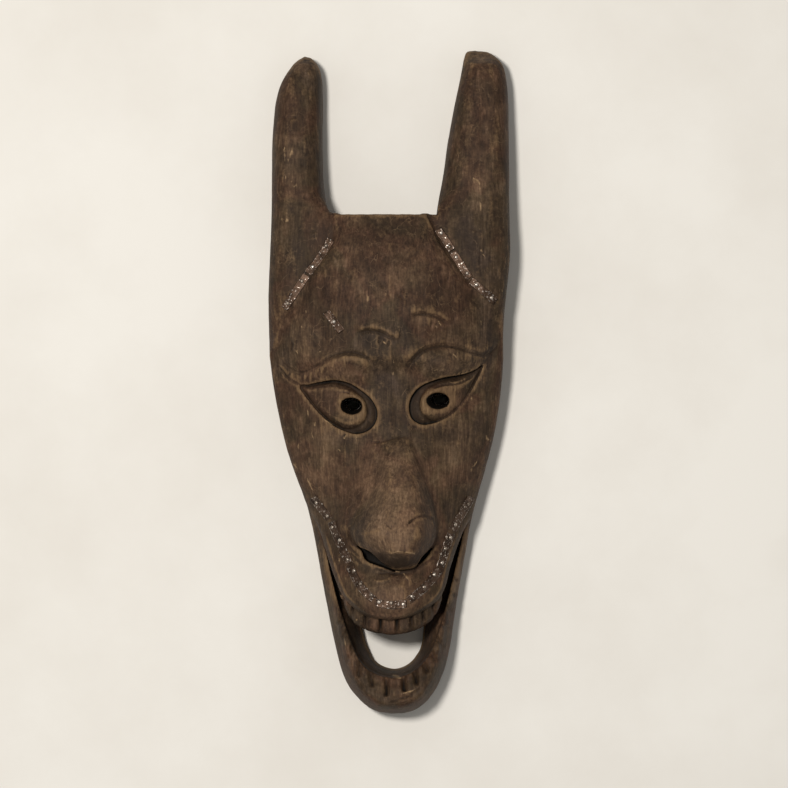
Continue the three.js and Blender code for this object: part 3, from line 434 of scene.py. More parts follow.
def carved_eye(outline, ball, pupil, lid, outward, soft_below):
    """A socket's plan, its surface, and how much painted shade its crescent gets. `outward` is the sign
    of x towards the eye's outer corner; `soft_below` is the share by which the lower rim is shallower."""
    plan = outside(flow(outline, closed=True))
    dx = X - pupil[0]
    dy = Y - pupil[1]
    outer = np.where(dx * outward > 0, smooth(np.abs(dx) / 34), 0)
    below = smooth((0.62 * dx * outward - 0.79 * dy - 2) / 12) * smooth((dx * outward + 10) / 18)
    depth = (SOCKET_DEEP - 4.2 * outer) * (1 - soft_below * below)
    ball_plan = outside(flow(ball, closed=True))
    floor = dome + 1.2 - depth + 0.5 * depth * rounded(-plan, 11)
    floor += (BALL_RISE - 1.4 * outer) * np.maximum(rounded(-ball_plan, 9), 0)
    floor -= 0.7 * smooth(1 - np.abs(ball_plan) / 1.6)
    from_pupil = np.hypot(dx / PUPIL_WIDE, dy / PUPIL_HIGH)
    floor += 0.7 * smooth(1 - np.abs(from_pupil - 1.15) / 0.25)
    groove(floor, lid, 1.2, 1.6, fade=0.15)
    groove(floor, flow([(x, y - 1.8) for x, y in lid]), 1.3, -0.6, fade=0.2)
    # Painted shade in the crescent between the ball and the socket's wall.
    shade = smooth(ball_plan / 3 + 0.3) * (1 - 0.7 * outer) * (1 - below)
    return plan, floor + 0.12 * gouged, shade


eyes = [
    carved_eye(LEFT_EYE, LEFT_BALL, LEFT_PUPIL, LEFT_LID, -1, 0.2),
    carved_eye(RIGHT_EYE, RIGHT_BALL, RIGHT_PUPIL, RIGHT_LID, 1, 0.62),
]

# The horns: two upright bars, flat in front, that taper to worn tips. Their feet reach a little
# under the face.
LEFT_HORN_INSIDE = [
    (-64.5, 245), (-59.5, 243.5), (-55.5, 239.5), (-52.4, 233), (-51, 215), (-51, 170), (-49.5, 142),
    (-46, 128), (-42, 124),
]
RIGHT_HORN_INSIDE = [
    (64, 250), (58, 248.5), (56, 244), (54, 233), (51.5, 221), (47, 199), (43, 176), (40, 154),
    (36, 133), (35, 124),
]
HORN_CREST = [
    (250, 13), (244, 23), (237, 36), (229, 41), (200, 47), (150, 55), (110, 62), (70, 65), (40, 58),
    (14, 46),
]
HORN_SHOULDER = 13  # how far the front falls at its edges
HORN_FOOT_Y = 14
UNDERLAP = 2.5


def horn_outline(edge, foot, foot_end, inside):
    """The plan of a horn: down its outer edge, up its foot under the face, and up its inner side."""
    outer = edge[edge[:, 1] > HORN_FOOT_Y]
    return outside(np.vstack([outer, foot[::-1], foot_end, flow(inside)[-2:0:-1]]))


def horn_surface(edge, inside, root, on_left, end):
    """A horn's front, between its two sides; below the crown it rolls down to its root."""
    out = glide(turned(edge))
    inn = glide(turned(inside))
    share = np.minimum(np.abs(X - (out + inn) / 2) / np.maximum(np.abs(out - inn) / 2, 1), 1.2)
    inner = np.where(np.abs(X) < np.abs(out + inn) / 2, 0.12 + 0.88 * smooth((Y - 118) / 26), 1)
    surface = glide(HORN_CREST) - HORN_SHOULDER * smooth((250 - Y) / 20) * inner * share**3.6
    return surface - np.where(Y < CROWN_Y, root_fall(root, on_left, end), 0)


left_foot = left_root + (UNDERLAP, -UNDERLAP)
right_foot = right_root - UNDERLAP
right_foot_end = [(RIGHT_ROOT[0][0] - UNDERLAP, CROWN_Y), (35, CROWN_Y)]
left_horn_plan = horn_outline(left_edge, left_foot, [(-39, CROWN_Y)], LEFT_HORN_INSIDE)
right_horn_plan = horn_outline(right_edge, right_foot, right_foot_end, RIGHT_HORN_INSIDE)
left_inner_side = LEFT_HORN_INSIDE[:8] + [(-35, 116), (-29, 95), (-25, 14)]
right_inner_side = RIGHT_HORN_INSIDE[:9] + [(29, CROWN_Y), (24, 100), (21, 14)]
left_horn = horn_surface(LEFT_EDGE[:11], left_inner_side, left_root, False, LEFT_ROOT_END)
right_horn = horn_surface(RIGHT_EDGE[:10], right_inner_side, right_root, True, RIGHT_ROOT_END)
fluted = 0.4 * dishes(9, 34, 21) + 0.3 * mottle(X / 12, Y / 50, 0, 22)
left_horn += fluted
right_horn += fluted
for _ in range(26):
    horn, xs = (left_horn, (-84, -54)) if chisel.random() < 0.5 else (right_horn, (54, 86))
    stray_cut(horn, xs, (80, 225), 0.3, 0.5, (4, 14), (0.9, 1.3), (0.3, 0.8))

# The jaw: a bar round the mouth that carries the lower teeth on its inner edge. The teeth are
# parted by V cuts, shallow ones at the left, and the gum line runs round outside them.
JAW_CREST = [(-92, 40), (-120, 42), (-150, 48), (-180, 57), (-205, 63), (-222, 65), (-250, 65)]
LOWER_TEETH = [
    (-52, -100), (-44, -145), (-34, -179.4), (-22, -208), (-12, -216.5), (3, -220), (16, -216),
    (28.2, -204.4), (38, -181), (47.5, -145), (57, -103),
]
LOWER_GUM = [
    (-43, -170), (-34, -208), (-25, -223), (-12, -231), (2, -234.5), (17, -231), (31, -218.5),
    (41, -192), (46, -170),
]
LOWER_GAPS = [
    (10, -219, 10.5, -228.5), (18.4, -215.5, 19.6, -223.5), (24.6, -207.5, 27, -214.5),
    (29.8, -198.5, 33.2, -207), (35.3, -191.5, 39, -197.5), (39, -180, 43, -184),
    (-2.8, -220.5, -2.6, -232), (41.5, -168, 45.5, -171.5), (43.5, -157, 47.6, -160),
    (45.6, -146, 49.5, -148.6),
]
SHALLOW_GAPS = [
    (-22, -209, -23.5, -218), (-14.8, -214.5, -13.2, -225.5), (-29, -200, -31, -207.5),
    (-33.6, -189, -37, -196), (-36, -178, -40, -184),
]
LIP_FOLDS = [
    [(-3.7, -238.6), (3, -239), (7.4, -237.4), (13.3, -236), (18.5, -233)],
    [(8.5, -231.4), (14.1, -231.2), (19.3, -228), (23.5, -225)],
]
JAW_SIDE = 26  # height of the jaw's outer side
JAW_ROUND = 11  # mm over which it rounds up from there to its crest
GAP_RUN_IN = 0.4  # each gap runs this share of its length further in, over the teeth's edge
gum_line = nearest(flow(LOWER_GUM), X, Y)[0]
lower_teeth_outline = flow(LOWER_TEETH)
lower_teeth_plan = outside(lower_teeth_outline)
jaw = JAW_SIDE + (glide(JAW_CREST) - JAW_SIDE) * rounded(-block_plan, JAW_ROUND)
jaw -= 0.6 * smooth(1 - gum_line / 2.6)
knobbly = 0.9 * smooth(1 - np.abs(lower_teeth_plan - 4) / 4) + 1.1 * dishes(8, 13, 31)
jaw += knobbly + 0.3 * mottle(X / 6, Y / 12, 0, 32)
gaps = [(gap, 2.4 + 0.7 * chisel.random(), 4.2) for gap in LOWER_GAPS]
for gap, width, depth in gaps + [(gap, 2.6, 3.0) for gap in SHALLOW_GAPS]:
    inner, outer = np.reshape(gap, (2, 2))
    groove(jaw, [inner - GAP_RUN_IN * (outer - inner), outer], width, depth, fade=0)
for fold in LIP_FOLDS:
    groove(jaw, fold, 1.8, -1.3, fade=0.2)
    groove(jaw, [(x, y + 1.8) for x, y in fold], 1.2, 0.8, fade=0.2)

# The open mouth, which falls from the teeth to its thin inner edge.
MOUTH_OPENING = [
    (-25, -165), (-21.5, -184), (-17, -200), (-10, -212), (2.9, -217), (14, -213.2), (22.5, -202),
    (25, -186), (27, -165),
]
MOUTH_SIDE = 44  # height at the teeth
MOUTH_LIP = 14  # height at the opening
SLIT_FLOOR = 22  # wood left below the slits between muzzle and jaw
opening_outline = flow(MOUTH_OPENING)
opening_plan = outside(opening_outline)
from_teeth = nearest(lower_teeth_outline, X, Y, closed=True)[0]
from_opening = nearest(opening_outline, X, Y, closed=True)[0]
inwards = smooth(from_teeth / (from_teeth + from_opening + 1e-6))
mouth = MOUTH_SIDE + (MOUTH_LIP - MOUTH_SIDE) * inwards
mouth += (SLIT_FLOOR - mouth) * smooth((Y + 176) / 14) + 0.8 * dishes(6, 8, 41)

# Upper teeth: a thin row of square teeth under the lip.
UPPER_TEETH = [
    (-38, -158), (-32.4, -171), (-28, -178), (-19, -183.6), (-0.4, -187.4), (18, -184.6), (31, -177),
    (36, -170), (40, -158),
]
UPPER_GAPS = [
    (-33, -158, -36.5, -169), (-26.5, -163, -29.5, -181), (-18, -170, -19.4, -189),
    (-6.7, -172, -7.2, -192), (5.1, -172, 5.4, -192), (15.7, -170, 16.6, -190), (23.5, -166, 26, -186),
    (31, -160, 33.4, -177), (37.5, -153, 42, -162),
]
TEETH_TOP = 80  # heights of the teeth's front and back
TEETH_BACK = 60
teeth_plan = outside(flow(UPPER_TEETH))
teeth = TEETH_TOP - 14 * smooth((np.abs(X - 2) - 10) / 30) - 4 * (1 - rounded(-teeth_plan, 4))
straight_cuts(teeth, UPPER_GAPS, 2.3, 3.6, fade=0)

# The hollow behind the face, roughly dished with an adze.
HOLLOW_LEFT = [(0, 94), (-40, 92), (-66, 70), (-75, 40), (-73, 4), (-60, -52), (-45, -97), (-33, -140)]
HOLLOW_RIGHT = [(0, 94), (40, 92), (68, 70), (77, 40), (75, 4), (65, -50), (52, -97), (38, -140)]
WALL = 15  # wood left between the face and the hollow
HOLLOW_RISE = 34  # mm over which it curves up to its roof
SPRING = 16  # height of the hollow where it starts to curve
hollow_plan = outside(np.vstack([flow(HOLLOW_LEFT), opening_outline, flow(HOLLOW_RIGHT)[:0:-1]]))
roof = np.minimum(dome - WALL, TEETH_BACK)
hollow = SPRING + (roof - SPRING) * rounded(-hollow_plan, HOLLOW_RISE)
hollow -= 1.6 * dishes(13, 24, 51) + 0.5 * mottle(X / 6, Y / 9, 0, 52)

# The carvings are joined as one field that is negative in the wood. Where two meet, `blend` mm
# are rounded over, as tools and handling leave them.


def above(height):
    """The field of all that lies under a surface; steep places are measured square to it."""
    gx, gy = np.gradient(height, STEP)
    steep = np.sqrt(1 + np.minimum(gx**2 + gy**2, 9))
    return ((Z - height[:, :, None]) / steep[:, :, None]).astype(np.float32)


def join(a, b, blend):
    """Both pieces of wood."""
    overlap = np.maximum(blend - np.abs(a - b), 0)
    return np.minimum(a, b) - overlap * overlap / (4 * blend)


def trim(a, b, blend):
    """The wood that two pieces share."""
    return -join(-a, -b, blend)


def plan3(plan):
    """A plan as a field: a block with upright sides."""
    return plan[:, :, None].astype(np.float32)


firm = plan3(1.5 + 3.5 * smooth((20 - Y) / 30))  # rounded at the cheeks, firm at the horns' roots
wood = trim(above(head), plan3(head_plan), firm)
wood = join(wood, trim(above(nose), plan3(nose_plan), 2.5), 2)
for plan, floor, _ in eyes:
    wood = trim(wood, -trim(plan3(plan), -above(floor), 1.5), 0.8)
at_tips = smooth((Y - 195) / 35)
at_crown = smooth((142 - Y) / 12) * (np.abs(X) < 62)
soften = plan3(6 - 4 * at_tips - 4.6 * at_crown)  # the tips and the crown keep a firmer edge
blend = plan3(7 - 3 * smooth((Y - 112) / 12))
for surface, plan in ((left_horn, left_horn_plan), (right_horn, right_horn_plan)):
    wood = join(wood, trim(above(surface), plan3(plan), soften), blend)
bar = trim(above(jaw), plan3(block_plan), 3)
bar = trim(bar, plan3(Y - (MOUTH_CORNER_Y + 14)), 1)
bar = trim(bar, -trim(plan3(lower_teeth_plan), -above(mouth), 1.5), 1.2)
wood = join(wood, bar, 0.6)

# Nostrils: slits cut in under the nose's tip, as (line, half width, depth into the face). The
# left one is fuller and goes deeper.
LEFT_NOSTRIL = [(-24, -121.5), (-19, -125), (-15, -129.3), (-9, -133.3), (-2, -137.3), (3.5, -139.8)]
RIGHT_NOSTRIL = [(18.5, -138), (23, -131.8), (28, -126.4), (33, -121)]
NOSTRILS = ((LEFT_NOSTRIL, 3.7, 18), (RIGHT_NOSTRIL, 1.6, 9))
FULLEST = (0.33, 0.5)  # share of each line's length at which it is widest
nostril_plan = np.full(X.shape, 99.0)
for (line, widest, deep), fullest in zip(NOSTRILS, FULLEST):
    distance, share, _ = nearest(flow(line), X, Y)
    swelling = np.where(share < fullest, share / fullest, (1 - share) / (1 - fullest))
    slot = distance - widest * (0.16 + 0.84 * smooth(swelling) ** 1.4)
    wood = trim(wood, -trim(plan3(slot), plan3(dome - deep) - Z, 1.2), 0.6)
    nostril_plan = np.minimum(nostril_plan, slot)
# Peep holes: cut through from the front. Behind, they are narrower and a little up and right.
for x, y in (LEFT_PUPIL, RIGHT_PUPIL):
    deep = 1 - np.clip((Z - 60) / 20, 0, 1)
    ring = np.hypot(
        (plan3(X - x) - 2.4 * deep) / PUPIL_WIDE, (plan3(Y - y) - 1.6 * deep) / PUPIL_HIGH
    )
    wood = trim(wood, (1 - 0.4 * deep - ring) * PUPIL_HIGH, 2.2)
wood = trim(wood, -trim(plan3(hollow_plan), above(hollow), 1.5), 1.5)
wood = trim(wood, -np.maximum(plan3(opening_plan), Z - TEETH_BACK + 2), 1.5)
row = trim(above(teeth), plan3(teeth_plan), 2.5)
wood = join(wood, trim(row, TEETH_BACK - Z, 1.5), 1)
wood = trim(wood, plan3(block_plan), 1)
wood = trim(wood, -Z, 1.2)


def sampled(field, points):
    """The field's value at each point, in mm, by linear steps between its samples."""
    at = (points - (across[0], along[0], up[0])) / STEP
    low = np.clip(np.floor(at).astype(int), 0, np.array(field.shape) - 2)
    part = at - low
    total = 0
    for corner in np.ndindex(2, 2, 2):
        c = np.array(corner)
        weight = np.prod(np.where(c == 1, part, 1 - part), axis=1)
        total = total + weight * field[tuple((low + c).T)]
    return total


def sampled_plan(plan, points):
    """The plan's value over or under each point."""
    return sampled(np.broadcast_to(plan3(plan), wood.shape), points)


def blurred(field, reach):
    """The mean of the field over a cube that runs `reach` samples each way."""
    size = 2 * reach + 1
    for axis in range(3):
        width = [(0, 0)] * 3
        width[axis] = (reach + 1, reach)
        run = np.cumsum(np.pad(field, width, mode="edge"), axis=axis, dtype=np.float32)
        run = np.moveaxis(run, axis, 0)
        field = np.moveaxis(run[size:] - run[:-size], 0, axis) / size
    return field


NARROW = 3 * STEP  # mm on each side of the surface that the grid keeps
grid = openvdb.FloatGrid(NARROW)
grid.copyFromArray(np.clip(wood, -NARROW, NARROW).astype(np.float32), tolerance=0.0)
points, quads = grid.convertToQuads(isovalue=0.0)
points = points * STEP + (across[0], along[0], up[0])
quads = quads[:, ::-1]

# Grain stands up a little where the softer wood between has worn away. The rim stays flat.
RIM = 1.5
normal = [sampled(wood, points + d) - sampled(wood, points - d) for d in np.eye(3) * 0.6]
normal = np.stack(normal, axis=1)
normal /= np.maximum(np.linalg.norm(normal, axis=1, keepdims=True), 1e-6)
px, py, pz = points.T
raised = 0.14 * mottle(px / 2.2, py / 26, pz / 2.2, 61) + 0.12 * mottle(px / 5, py / 9, pz / 5, 62)
raised = np.where(pz < RIM, np.minimum(raised, 0), raised)
points = points + normal * raised[:, None]
points[:, 2] = np.maximum(points[:, 2], 0)


def mesh_object(name, points, *face_sets):
    """An object from points in mm and arrays of faces, each with its own number of corners."""
    mesh = bpy.data.meshes.new(name)
    mesh.vertices.add(len(points))
    mesh.vertices.foreach_set("co", (np.asarray(points) * MM).astype(np.float32).ravel())
    sides = np.concatenate([np.full(len(faces), np.shape(faces)[1]) for faces in face_sets])
    corners = np.concatenate([np.ravel(faces) for faces in face_sets])
    mesh.loops.add(len(corners))
    mesh.loops.foreach_set("vertex_index", corners.astype(np.int32))
    mesh.polygons.add(len(sides))
    mesh.polygons.foreach_set("loop_start", (np.cumsum(sides) - sides).astype(np.int32))
    mesh.update(calc_edges=True)
    mesh.polygons.foreach_set("use_smooth", np.ones(len(sides), bool))
    made = bpy.data.objects.new(name, mesh)
    bpy.context.scene.collection.objects.link(made)
    return made


def attribute(mesh, name, values):
    """A value at each point of a mesh, for its material to read."""
    layer = mesh.attributes.new(name, "FLOAT", "POINT")
    layer.data.foreach_set("value", np.asarray(values, np.float32))


def coordinates(mesh):
    """The points of a mesh, in mm."""
    flat = np.zeros(len(mesh.vertices) * 3, np.float32)
    mesh.vertices.foreach_get("co", flat)
    return flat.reshape(-1, 3) / MM


carving = mesh_object("carved_mask", points, quads)
thin = carving.modifiers.new("thin", "DECIMATE")
thin.ratio = min(1, MOST_FACES / (2 * len(quads)))
thin.use_collapse_triangulate = True
bpy.context.view_layer.update()
thinned = bpy.data.meshes.new_from_object(carving.evaluated_get(bpy.context.evaluated_depsgraph_get()))
carving.modifiers.clear()
carving.data = thinned
carving.data.name = "carved_mask"
carving.data.polygons.foreach_set("use_smooth", np.ones(len(carving.data.polygons), bool))

# Handling rubs the ridges; soot and wax gather in the valleys, and painted shade darkens the valleys,
# the sockets, the nose's underside and the holes.
at = coordinates(carving.data)
near_band = np.clip(wood, -8, 8)
close = sampled(blurred(near_band, max(1, round(1.8 / STEP))), at)
wide = sampled(blurred(near_band, max(1, round(5.4 / STEP))), at)
# Painted shade in the mouth: there the ridges are kept from rubbing lighter.
mouth_shade = 1 - 0.75 * smooth((-156 - at[:, 1]) / 12)
attribute(carving.data, "ridge", np.clip(close * 1.6 + wide * 0.35, -1, 1) * mouth_shade)
# Painted shade in the eyes' crescents and under the nose's tip.
sockets = sum(shade * (plan < 1) for plan, _, shade in eyes)
sockets += swell(3, -133.5, 38, 14, 2.0)
# Painted black shade in the nostrils and the peep holes.
holes = smooth(1 - nostril_plan / 0.8)
for x, y in (LEFT_PUPIL, RIGHT_PUPIL):
    holes += smooth((0.97 - np.hypot((X - x) / PUPIL_WIDE, (Y - y) / PUPIL_HIGH)) / 0.08)
shade = sampled_plan(sockets, at) * (at[:, 2] > 50)
in_hole = sampled_plan(holes, at) * (at[:, 2] < sampled_plan(dome, at) - 1)
# Soot in the cuts, with painted shade in the cuts, the sockets and the holes.
soot_and_shade = -close * 1.5 - wide * 0.15 + 0.5 * shade + 3 * in_hole
attribute(carving.data, "valley", np.clip(soot_and_shade, -1, 1.6))

# Where hands have held it: (x, y, half width, half height, strength), weaker below nought.
TOUCHED = [
    (2, -86, 38, 60, 0.7), (3, -113, 34, 22, 0.75), (-62, 34, 22, 32, 0.45),
    (60, 30, 22, 20, 0.35), (46, 12, 34, 12, 0.3, 0.12), (-38, 9, 34, 12, 0.3),
    (52, -56, 30, 56, 0.4), (-50, -66, 30, 64, 0.45), (-48, -38, 18, 12, 0.4),
    (4, 76, 36, 26, 0.2), (0, -160, 40, 26, 0.75), (-74, 170, 12, 50, 0.35),
    (68, 160, 16, 50, 0.25), (-70, 236, 12, 10, 0.6), (70, 243, 12, 8, 0.8),
    (12, -234, 24, 8, 0.5), (-68, 206, 20, 36, -0.5), (66, 104, 26, 30, -0.4),
    (-66, 104, 24, 34, -0.4),
]
attribute(carving.data, "touched", sampled_plan(sum(swell(*place) for place in TOUCHED), at))

# Knocks that show fresh wood, each from one end to the other. The back has none.
KNOCKS = [
    (-3.3, 69, -3, 63.7), (-11, 55.5, -8.8, 52), (-7.3, 49.6, -7.2, 47), (6, 41.5, 7, 36),
    (-17, 63.7, -16.2, 59.5), (16.3, 66, 18.5, 65), (-65.6, 40, -63.4, 39.8),
    (-69.3, 22.4, -67.8, 19.4), (-52.3, 22.4, -50, 21), (-62.6, 52, -61.6, 50.5),
    (-61.2, -22, -60, -25.6), (-50, -32.2, -47.9, -35.2), (-36.8, -39.6, -33.6, -42.4),
    (-33.6, -42.4, -32.4, -39.6), (-25, -41, -24.6, -45), (3.8, 20.1, 2.7, 13.5), (1.5, 10.6, 2.3, 5),
    (67.6, 44.5, 67.9, 41), (60.5, 32, 62.8, 28.3), (66.4, 118, 66.6, 113), (82.4, 69, 84.6, 66.6),
    (60.5, -12, 62, -14), (48.7, -34.4, 54.6, -35.2), (-76.6, 122, -77.4, 117),
    (-81, 119.7, -72, 118.4), (1, -125.5, 5.3, -124), (5.3, -124, 11.2, -124.6),
    (12, -124.6, 18, -125.6), (4.5, -139.8, 7.5, -140.6), (10, -141.5, 14, -146),
    (-33.7, -191.5, -33, -195.5), (9.5, -231.4, 18, -228.8), (2, -219.5, 8, -220),
    (-26, -178, -24.5, -176), (-78.5, 174, -78, 162), (-78, 159, -77.6, 150), (-73, 172, -76, 163),
    (-74, 150, -70, 146), (-77, 148, -71, 143), (66.5, 148, 67, 141), (67.2, 134, 67.5, 127),
    (60, 152, 66, 149), (66, 207, 71, 206.4), (64, 104, 70, 92), (70, 92, 74, 88), (-57, -30, -55, -34),
    (-59, -38, -56, -43), (-66, -45, -70, -50), (-72, -62, -66, -68), (-62, -72, -58, -80),
    (-40, -45, -37, -52), (70, -40, 75, -45), (66, -58, 60, -66), (-38, -131, -36.5, -136),
    (33, 8, 36, 8.5), (47, 20, 49, 17.5), (-5, 29, -3, 27.5), (32, 42, 34.5, 40), (36, 44, 37.5, 41.5),
    (53, 5.5, 57, 6.6), (-49, -28, -43, -32),
]
FRONT = 30
fresh = np.zeros(len(at))
for knock in KNOCKS:
    distance = nearest(np.reshape(knock, (2, 2)), at[:, 0], at[:, 1])[0]
    fresh = np.maximum(fresh, np.where(at[:, 2] > FRONT, np.clip(1.05 - distance, 0, 1), 0))
attribute(carving.data, "fresh", fresh)
inside_faces = (sampled(above(hollow), at) < 1.5) & (sampled_plan(hollow_plan, at) < 1.5)
attribute(carving.data, "behind", np.where(inside_faces | (at[:, 2] < 0.6), 1.0, 0.0))


def linear(hex_colour):
    """An sRGB hex colour as linear RGBA."""
    parts = [int(hex_colour[i : i + 2], 16) / 255 for i in (1, 3, 5)]
    return tuple(c / 12.92 if c <= 0.04045 else ((c + 0.055) / 1.055) ** 2.4 for c in parts) + (1.0,)


def add(tree, kind, fill=None, **settings):
    """A shader node with its settings, and with each named input filled or linked."""
    made = tree.nodes.new("ShaderNode" + kind)
    for key, value in settings.items():
        setattr(made, key, value)
    for key, value in (fill or {}).items():
        if isinstance(value, bpy.types.NodeSocket):
            tree.links.new(value, made.inputs[key])
        else:
            made.inputs[key].default_value = value
    return made


def new_material(name):
    """A material, its node tree, and the place on the object in metres."""
    made = bpy.data.materials.new(name)
    made.use_nodes = True
    tree = made.node_tree
    tree.nodes.clear()
    return made, tree, add(tree, "TexCoord").outputs["Object"]


def noted(t, name):
    """A value that the mesh carries, by its name."""
    return add(t, "Attribute", attribute_name=name).outputs["Fac"]


def noise(t, place, scale, detail, **more):
    """Blotches of a natural kind, `scale` of them to a metre."""
    fill = {"Vector": place, "Scale": scale, "Detail": detail}
    return add(t, "TexNoise", {**fill, **more}).outputs[0]


def scaled(t, value, times, plus=0.0):
    """value * times + plus, where each may come from a node."""
    return add(t, "Math", {0: value, 1: times, 2: plus}, operation="MULTIPLY_ADD").outputs[0]


def spread(t, value, low, high, least, most):
    """`least` where the value is `low`, `most` where it is `high`, and even between."""
    fill = {"Value": value, "From Min": low, "From Max": high, "To Min": least, "To Max": most}
    return add(t, "MapRange", fill).outputs[0]


def ramp(t, value, stops):
    """A colour for the value, through (value, colour) stops."""
    made = add(t, "ValToRGB", {0: value})
    elements = made.color_ramp.elements
    while len(elements) < len(stops):
        elements.new(0.5)
    for element, (place, colour) in zip(elements, stops):
        element.position = place
        element.color = linear(colour)
    return made.outputs[0]


def overlaid(t, share, under, over, **settings):
    """One colour over another, covering as much of it as the share says."""
    fill = {0: share, 6: under, 7: over}
    return add(t, "Mix", fill, data_type="RGBA", **settings).outputs[2]


def bumped(t, height, strength, distance):
    """Fine relief, `distance` metres high at full strength."""
    fill = {"Strength": strength, "Distance": distance, "Height": height}
    return add(t, "Bump", fill).outputs[0]


def finished(t, fill):
    """The surface that a material ends in."""
    skin = add(t, "BsdfPrincipled", fill)
    add(t, "OutputMaterial", {"Surface": skin.outputs[0]})


# Stained hardwood, carved and waxed: dark brown with upright grain and soft olive and reddish
# clouds, pale where it is knocked, and darkened in the cuts and holes by soot and painted shade. Wax
# gives a dull satin shine; the unwaxed hollow is dusty.
stained, t, place = new_material("stained_hardwood_carved_waxed")
VESSELS = (700, 80, 700)  # to a metre: about 1.4 mm apart, coarser than the real half millimetre
FIGURE = (110, 26, 110)
lengthways = add(t, "Mapping", {"Vector": place, "Scale": VESSELS}).outputs[0]
grain = noise(t, lengthways, 1.0, 5.0, Roughness=0.65)
bands = add(t, "Mapping", {"Vector": place, "Scale": FIGURE}).outputs[0]
figure = noise(t, bands, 1.0, 4.0, Distortion=0.8)
patches = noise(t, place, 38.0, 6.0, Roughness=0.65)
clouds = noise(t, place, 19.0, 4.0, Distortion=0.6)
specks = noise(t, place, 430.0, 4.0, Roughness=0.7)
tone = scaled(t, specks, 0.25, scaled(t, figure, 0.33, scaled(t, grain, 0.42)))
stain = ramp(t, tone, [(0.38, "#2b211a"), (0.46, "#40332a"), (0.53, "#4f4033"), (0.63, "#675549")])
clouded = ramp(t, clouds, [(0.34, "#d4d4d4"), (0.45, "#dddcc6"), (0.55, "#f4d8ca"), (0.66, "#fdf0de")])
body = overlaid(t, 0.9, stain, clouded, blend_type="MULTIPLY")
body = overlaid(t, spread(t, patches, 0.36, 0.6, 0.0, 0.5), body, linear("#2a2018"))

# Hands have rubbed the wax thin in places: the wood is lighter and yellower there, in blotches.
blotches = noise(t, place, 120.0, 5.0, Roughness=0.65)
uneven = scaled(t, blotches, 1.0, patches)
thin_wax = spread(t, scaled(t, uneven, -1.5, noted(t, "touched")), -1.5, -0.4, 0.0, 0.55)
light_wood = ramp(t, tone, [(0.38, "#5a463a"), (0.5, "#7e644d"), (0.62, "#a48669")])
body = overlaid(t, thin_wax, body, light_wood)

# Fine cracks in the old wax, as a broken net of thin pale lines.
wander = add(t, "TexNoise", {"Vector": place, "Scale": 90.0, "Detail": 3.0}).outputs["Color"]
WANDER = (0.012, 0.012, 0.012)
bent = add(t, "VectorMath", {0: wander, 1: WANDER, 2: place}, operation="MULTIPLY_ADD")
crackle = {"Vector": bent.outputs[0], "Scale": 85.0}
net = add(t, "TexVoronoi", crackle, feature="DISTANCE_TO_EDGE").outputs["Distance"]
cracks = scaled(t, spread(t, net, 0.0, 0.024, 1.0, 0.0), spread(t, uneven, 0.98, 1.2, 0.0, 0.24))
body = overlaid(t, cracks, body, linear("#a18465"))

# Bare wood on the ridges, soot and painted shade in the cuts and sockets, painted black shade in
# the holes, and pale wood at the knocks.
bare = ramp(t, grain, [(0.3, "#5f4a36"), (0.55, "#806649"), (0.75, "#a08560")])
rub = scaled(t, scaled(t, specks, 1.0, patches), 0.8, noted(t, "ridge"))
body = overlaid(t, spread(t, rub, 1.05, 1.55, 0.0, 0.55), body, bare)
valley = noted(t, "valley")
# Painted shade: dark brown in the cuts and sockets, near black in the holes.
body = overlaid(t, spread(t, valley, 0.2, 0.85, 0.0, 0.85), body, linear("#2b2017"))
body = overlaid(t, spread(t, valley, 1.1, 1.5, 0.0, 0.95), body, linear("#0d0a07"))
knocked = scaled(t, specks, 1.4, noted(t, "fresh"))
body = overlaid(t, spread(t, knocked, 1.15, 1.75, 0.0, 0.72), body, linear("#a88c69"))
behind = noted(t, "behind")
raw = ramp(t, tone, [(0.3, "#3f3227"), (0.5, "#6a563f"), (0.7, "#86704f")])
dull = scaled(t, behind, 0.2, spread(t, patches, 0.0, 1.0, 0.74, 0.55))
skin = {
    "Base Color": overlaid(t, behind, body, raw),
    "Roughness": dull,
    "IOR": 1.5,
    "Specular IOR Level": 0.12,
    "Normal": bumped(t, scaled(t, specks, 0.35, grain), 0.5, 0.0005),
}
finished(t, skin)
carving.data.materials.clear()
carving.data.materials.append(stained)
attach(carving, "root")
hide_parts("mask")

# ------------------------------------------------------------
# Strips: thin hand-cut lengths of old copper sheet, about 6 mm wide, bent down on to the wood.
# They edge the upper lip, cover the roots of the horns and patch the left temple. The edges are
# hammered and rubbed bright, with painted glints on them; the rest has gone brown.

STRIP_WIDTH = 6.0
STRIP_THICK = 0.5
STRIP_ABOVE = 0.5  # the strip's face stands this far over the wood
OVERCUT = 0.8  # each end is cut this much long, to meet the next length
ROW = 0.9  # mm from one row of points to the next
STIFF = 3.5  # mm over which the sheet evens out the wood's ups and downs
ACROSS = np.linspace(-1, 1, 13)
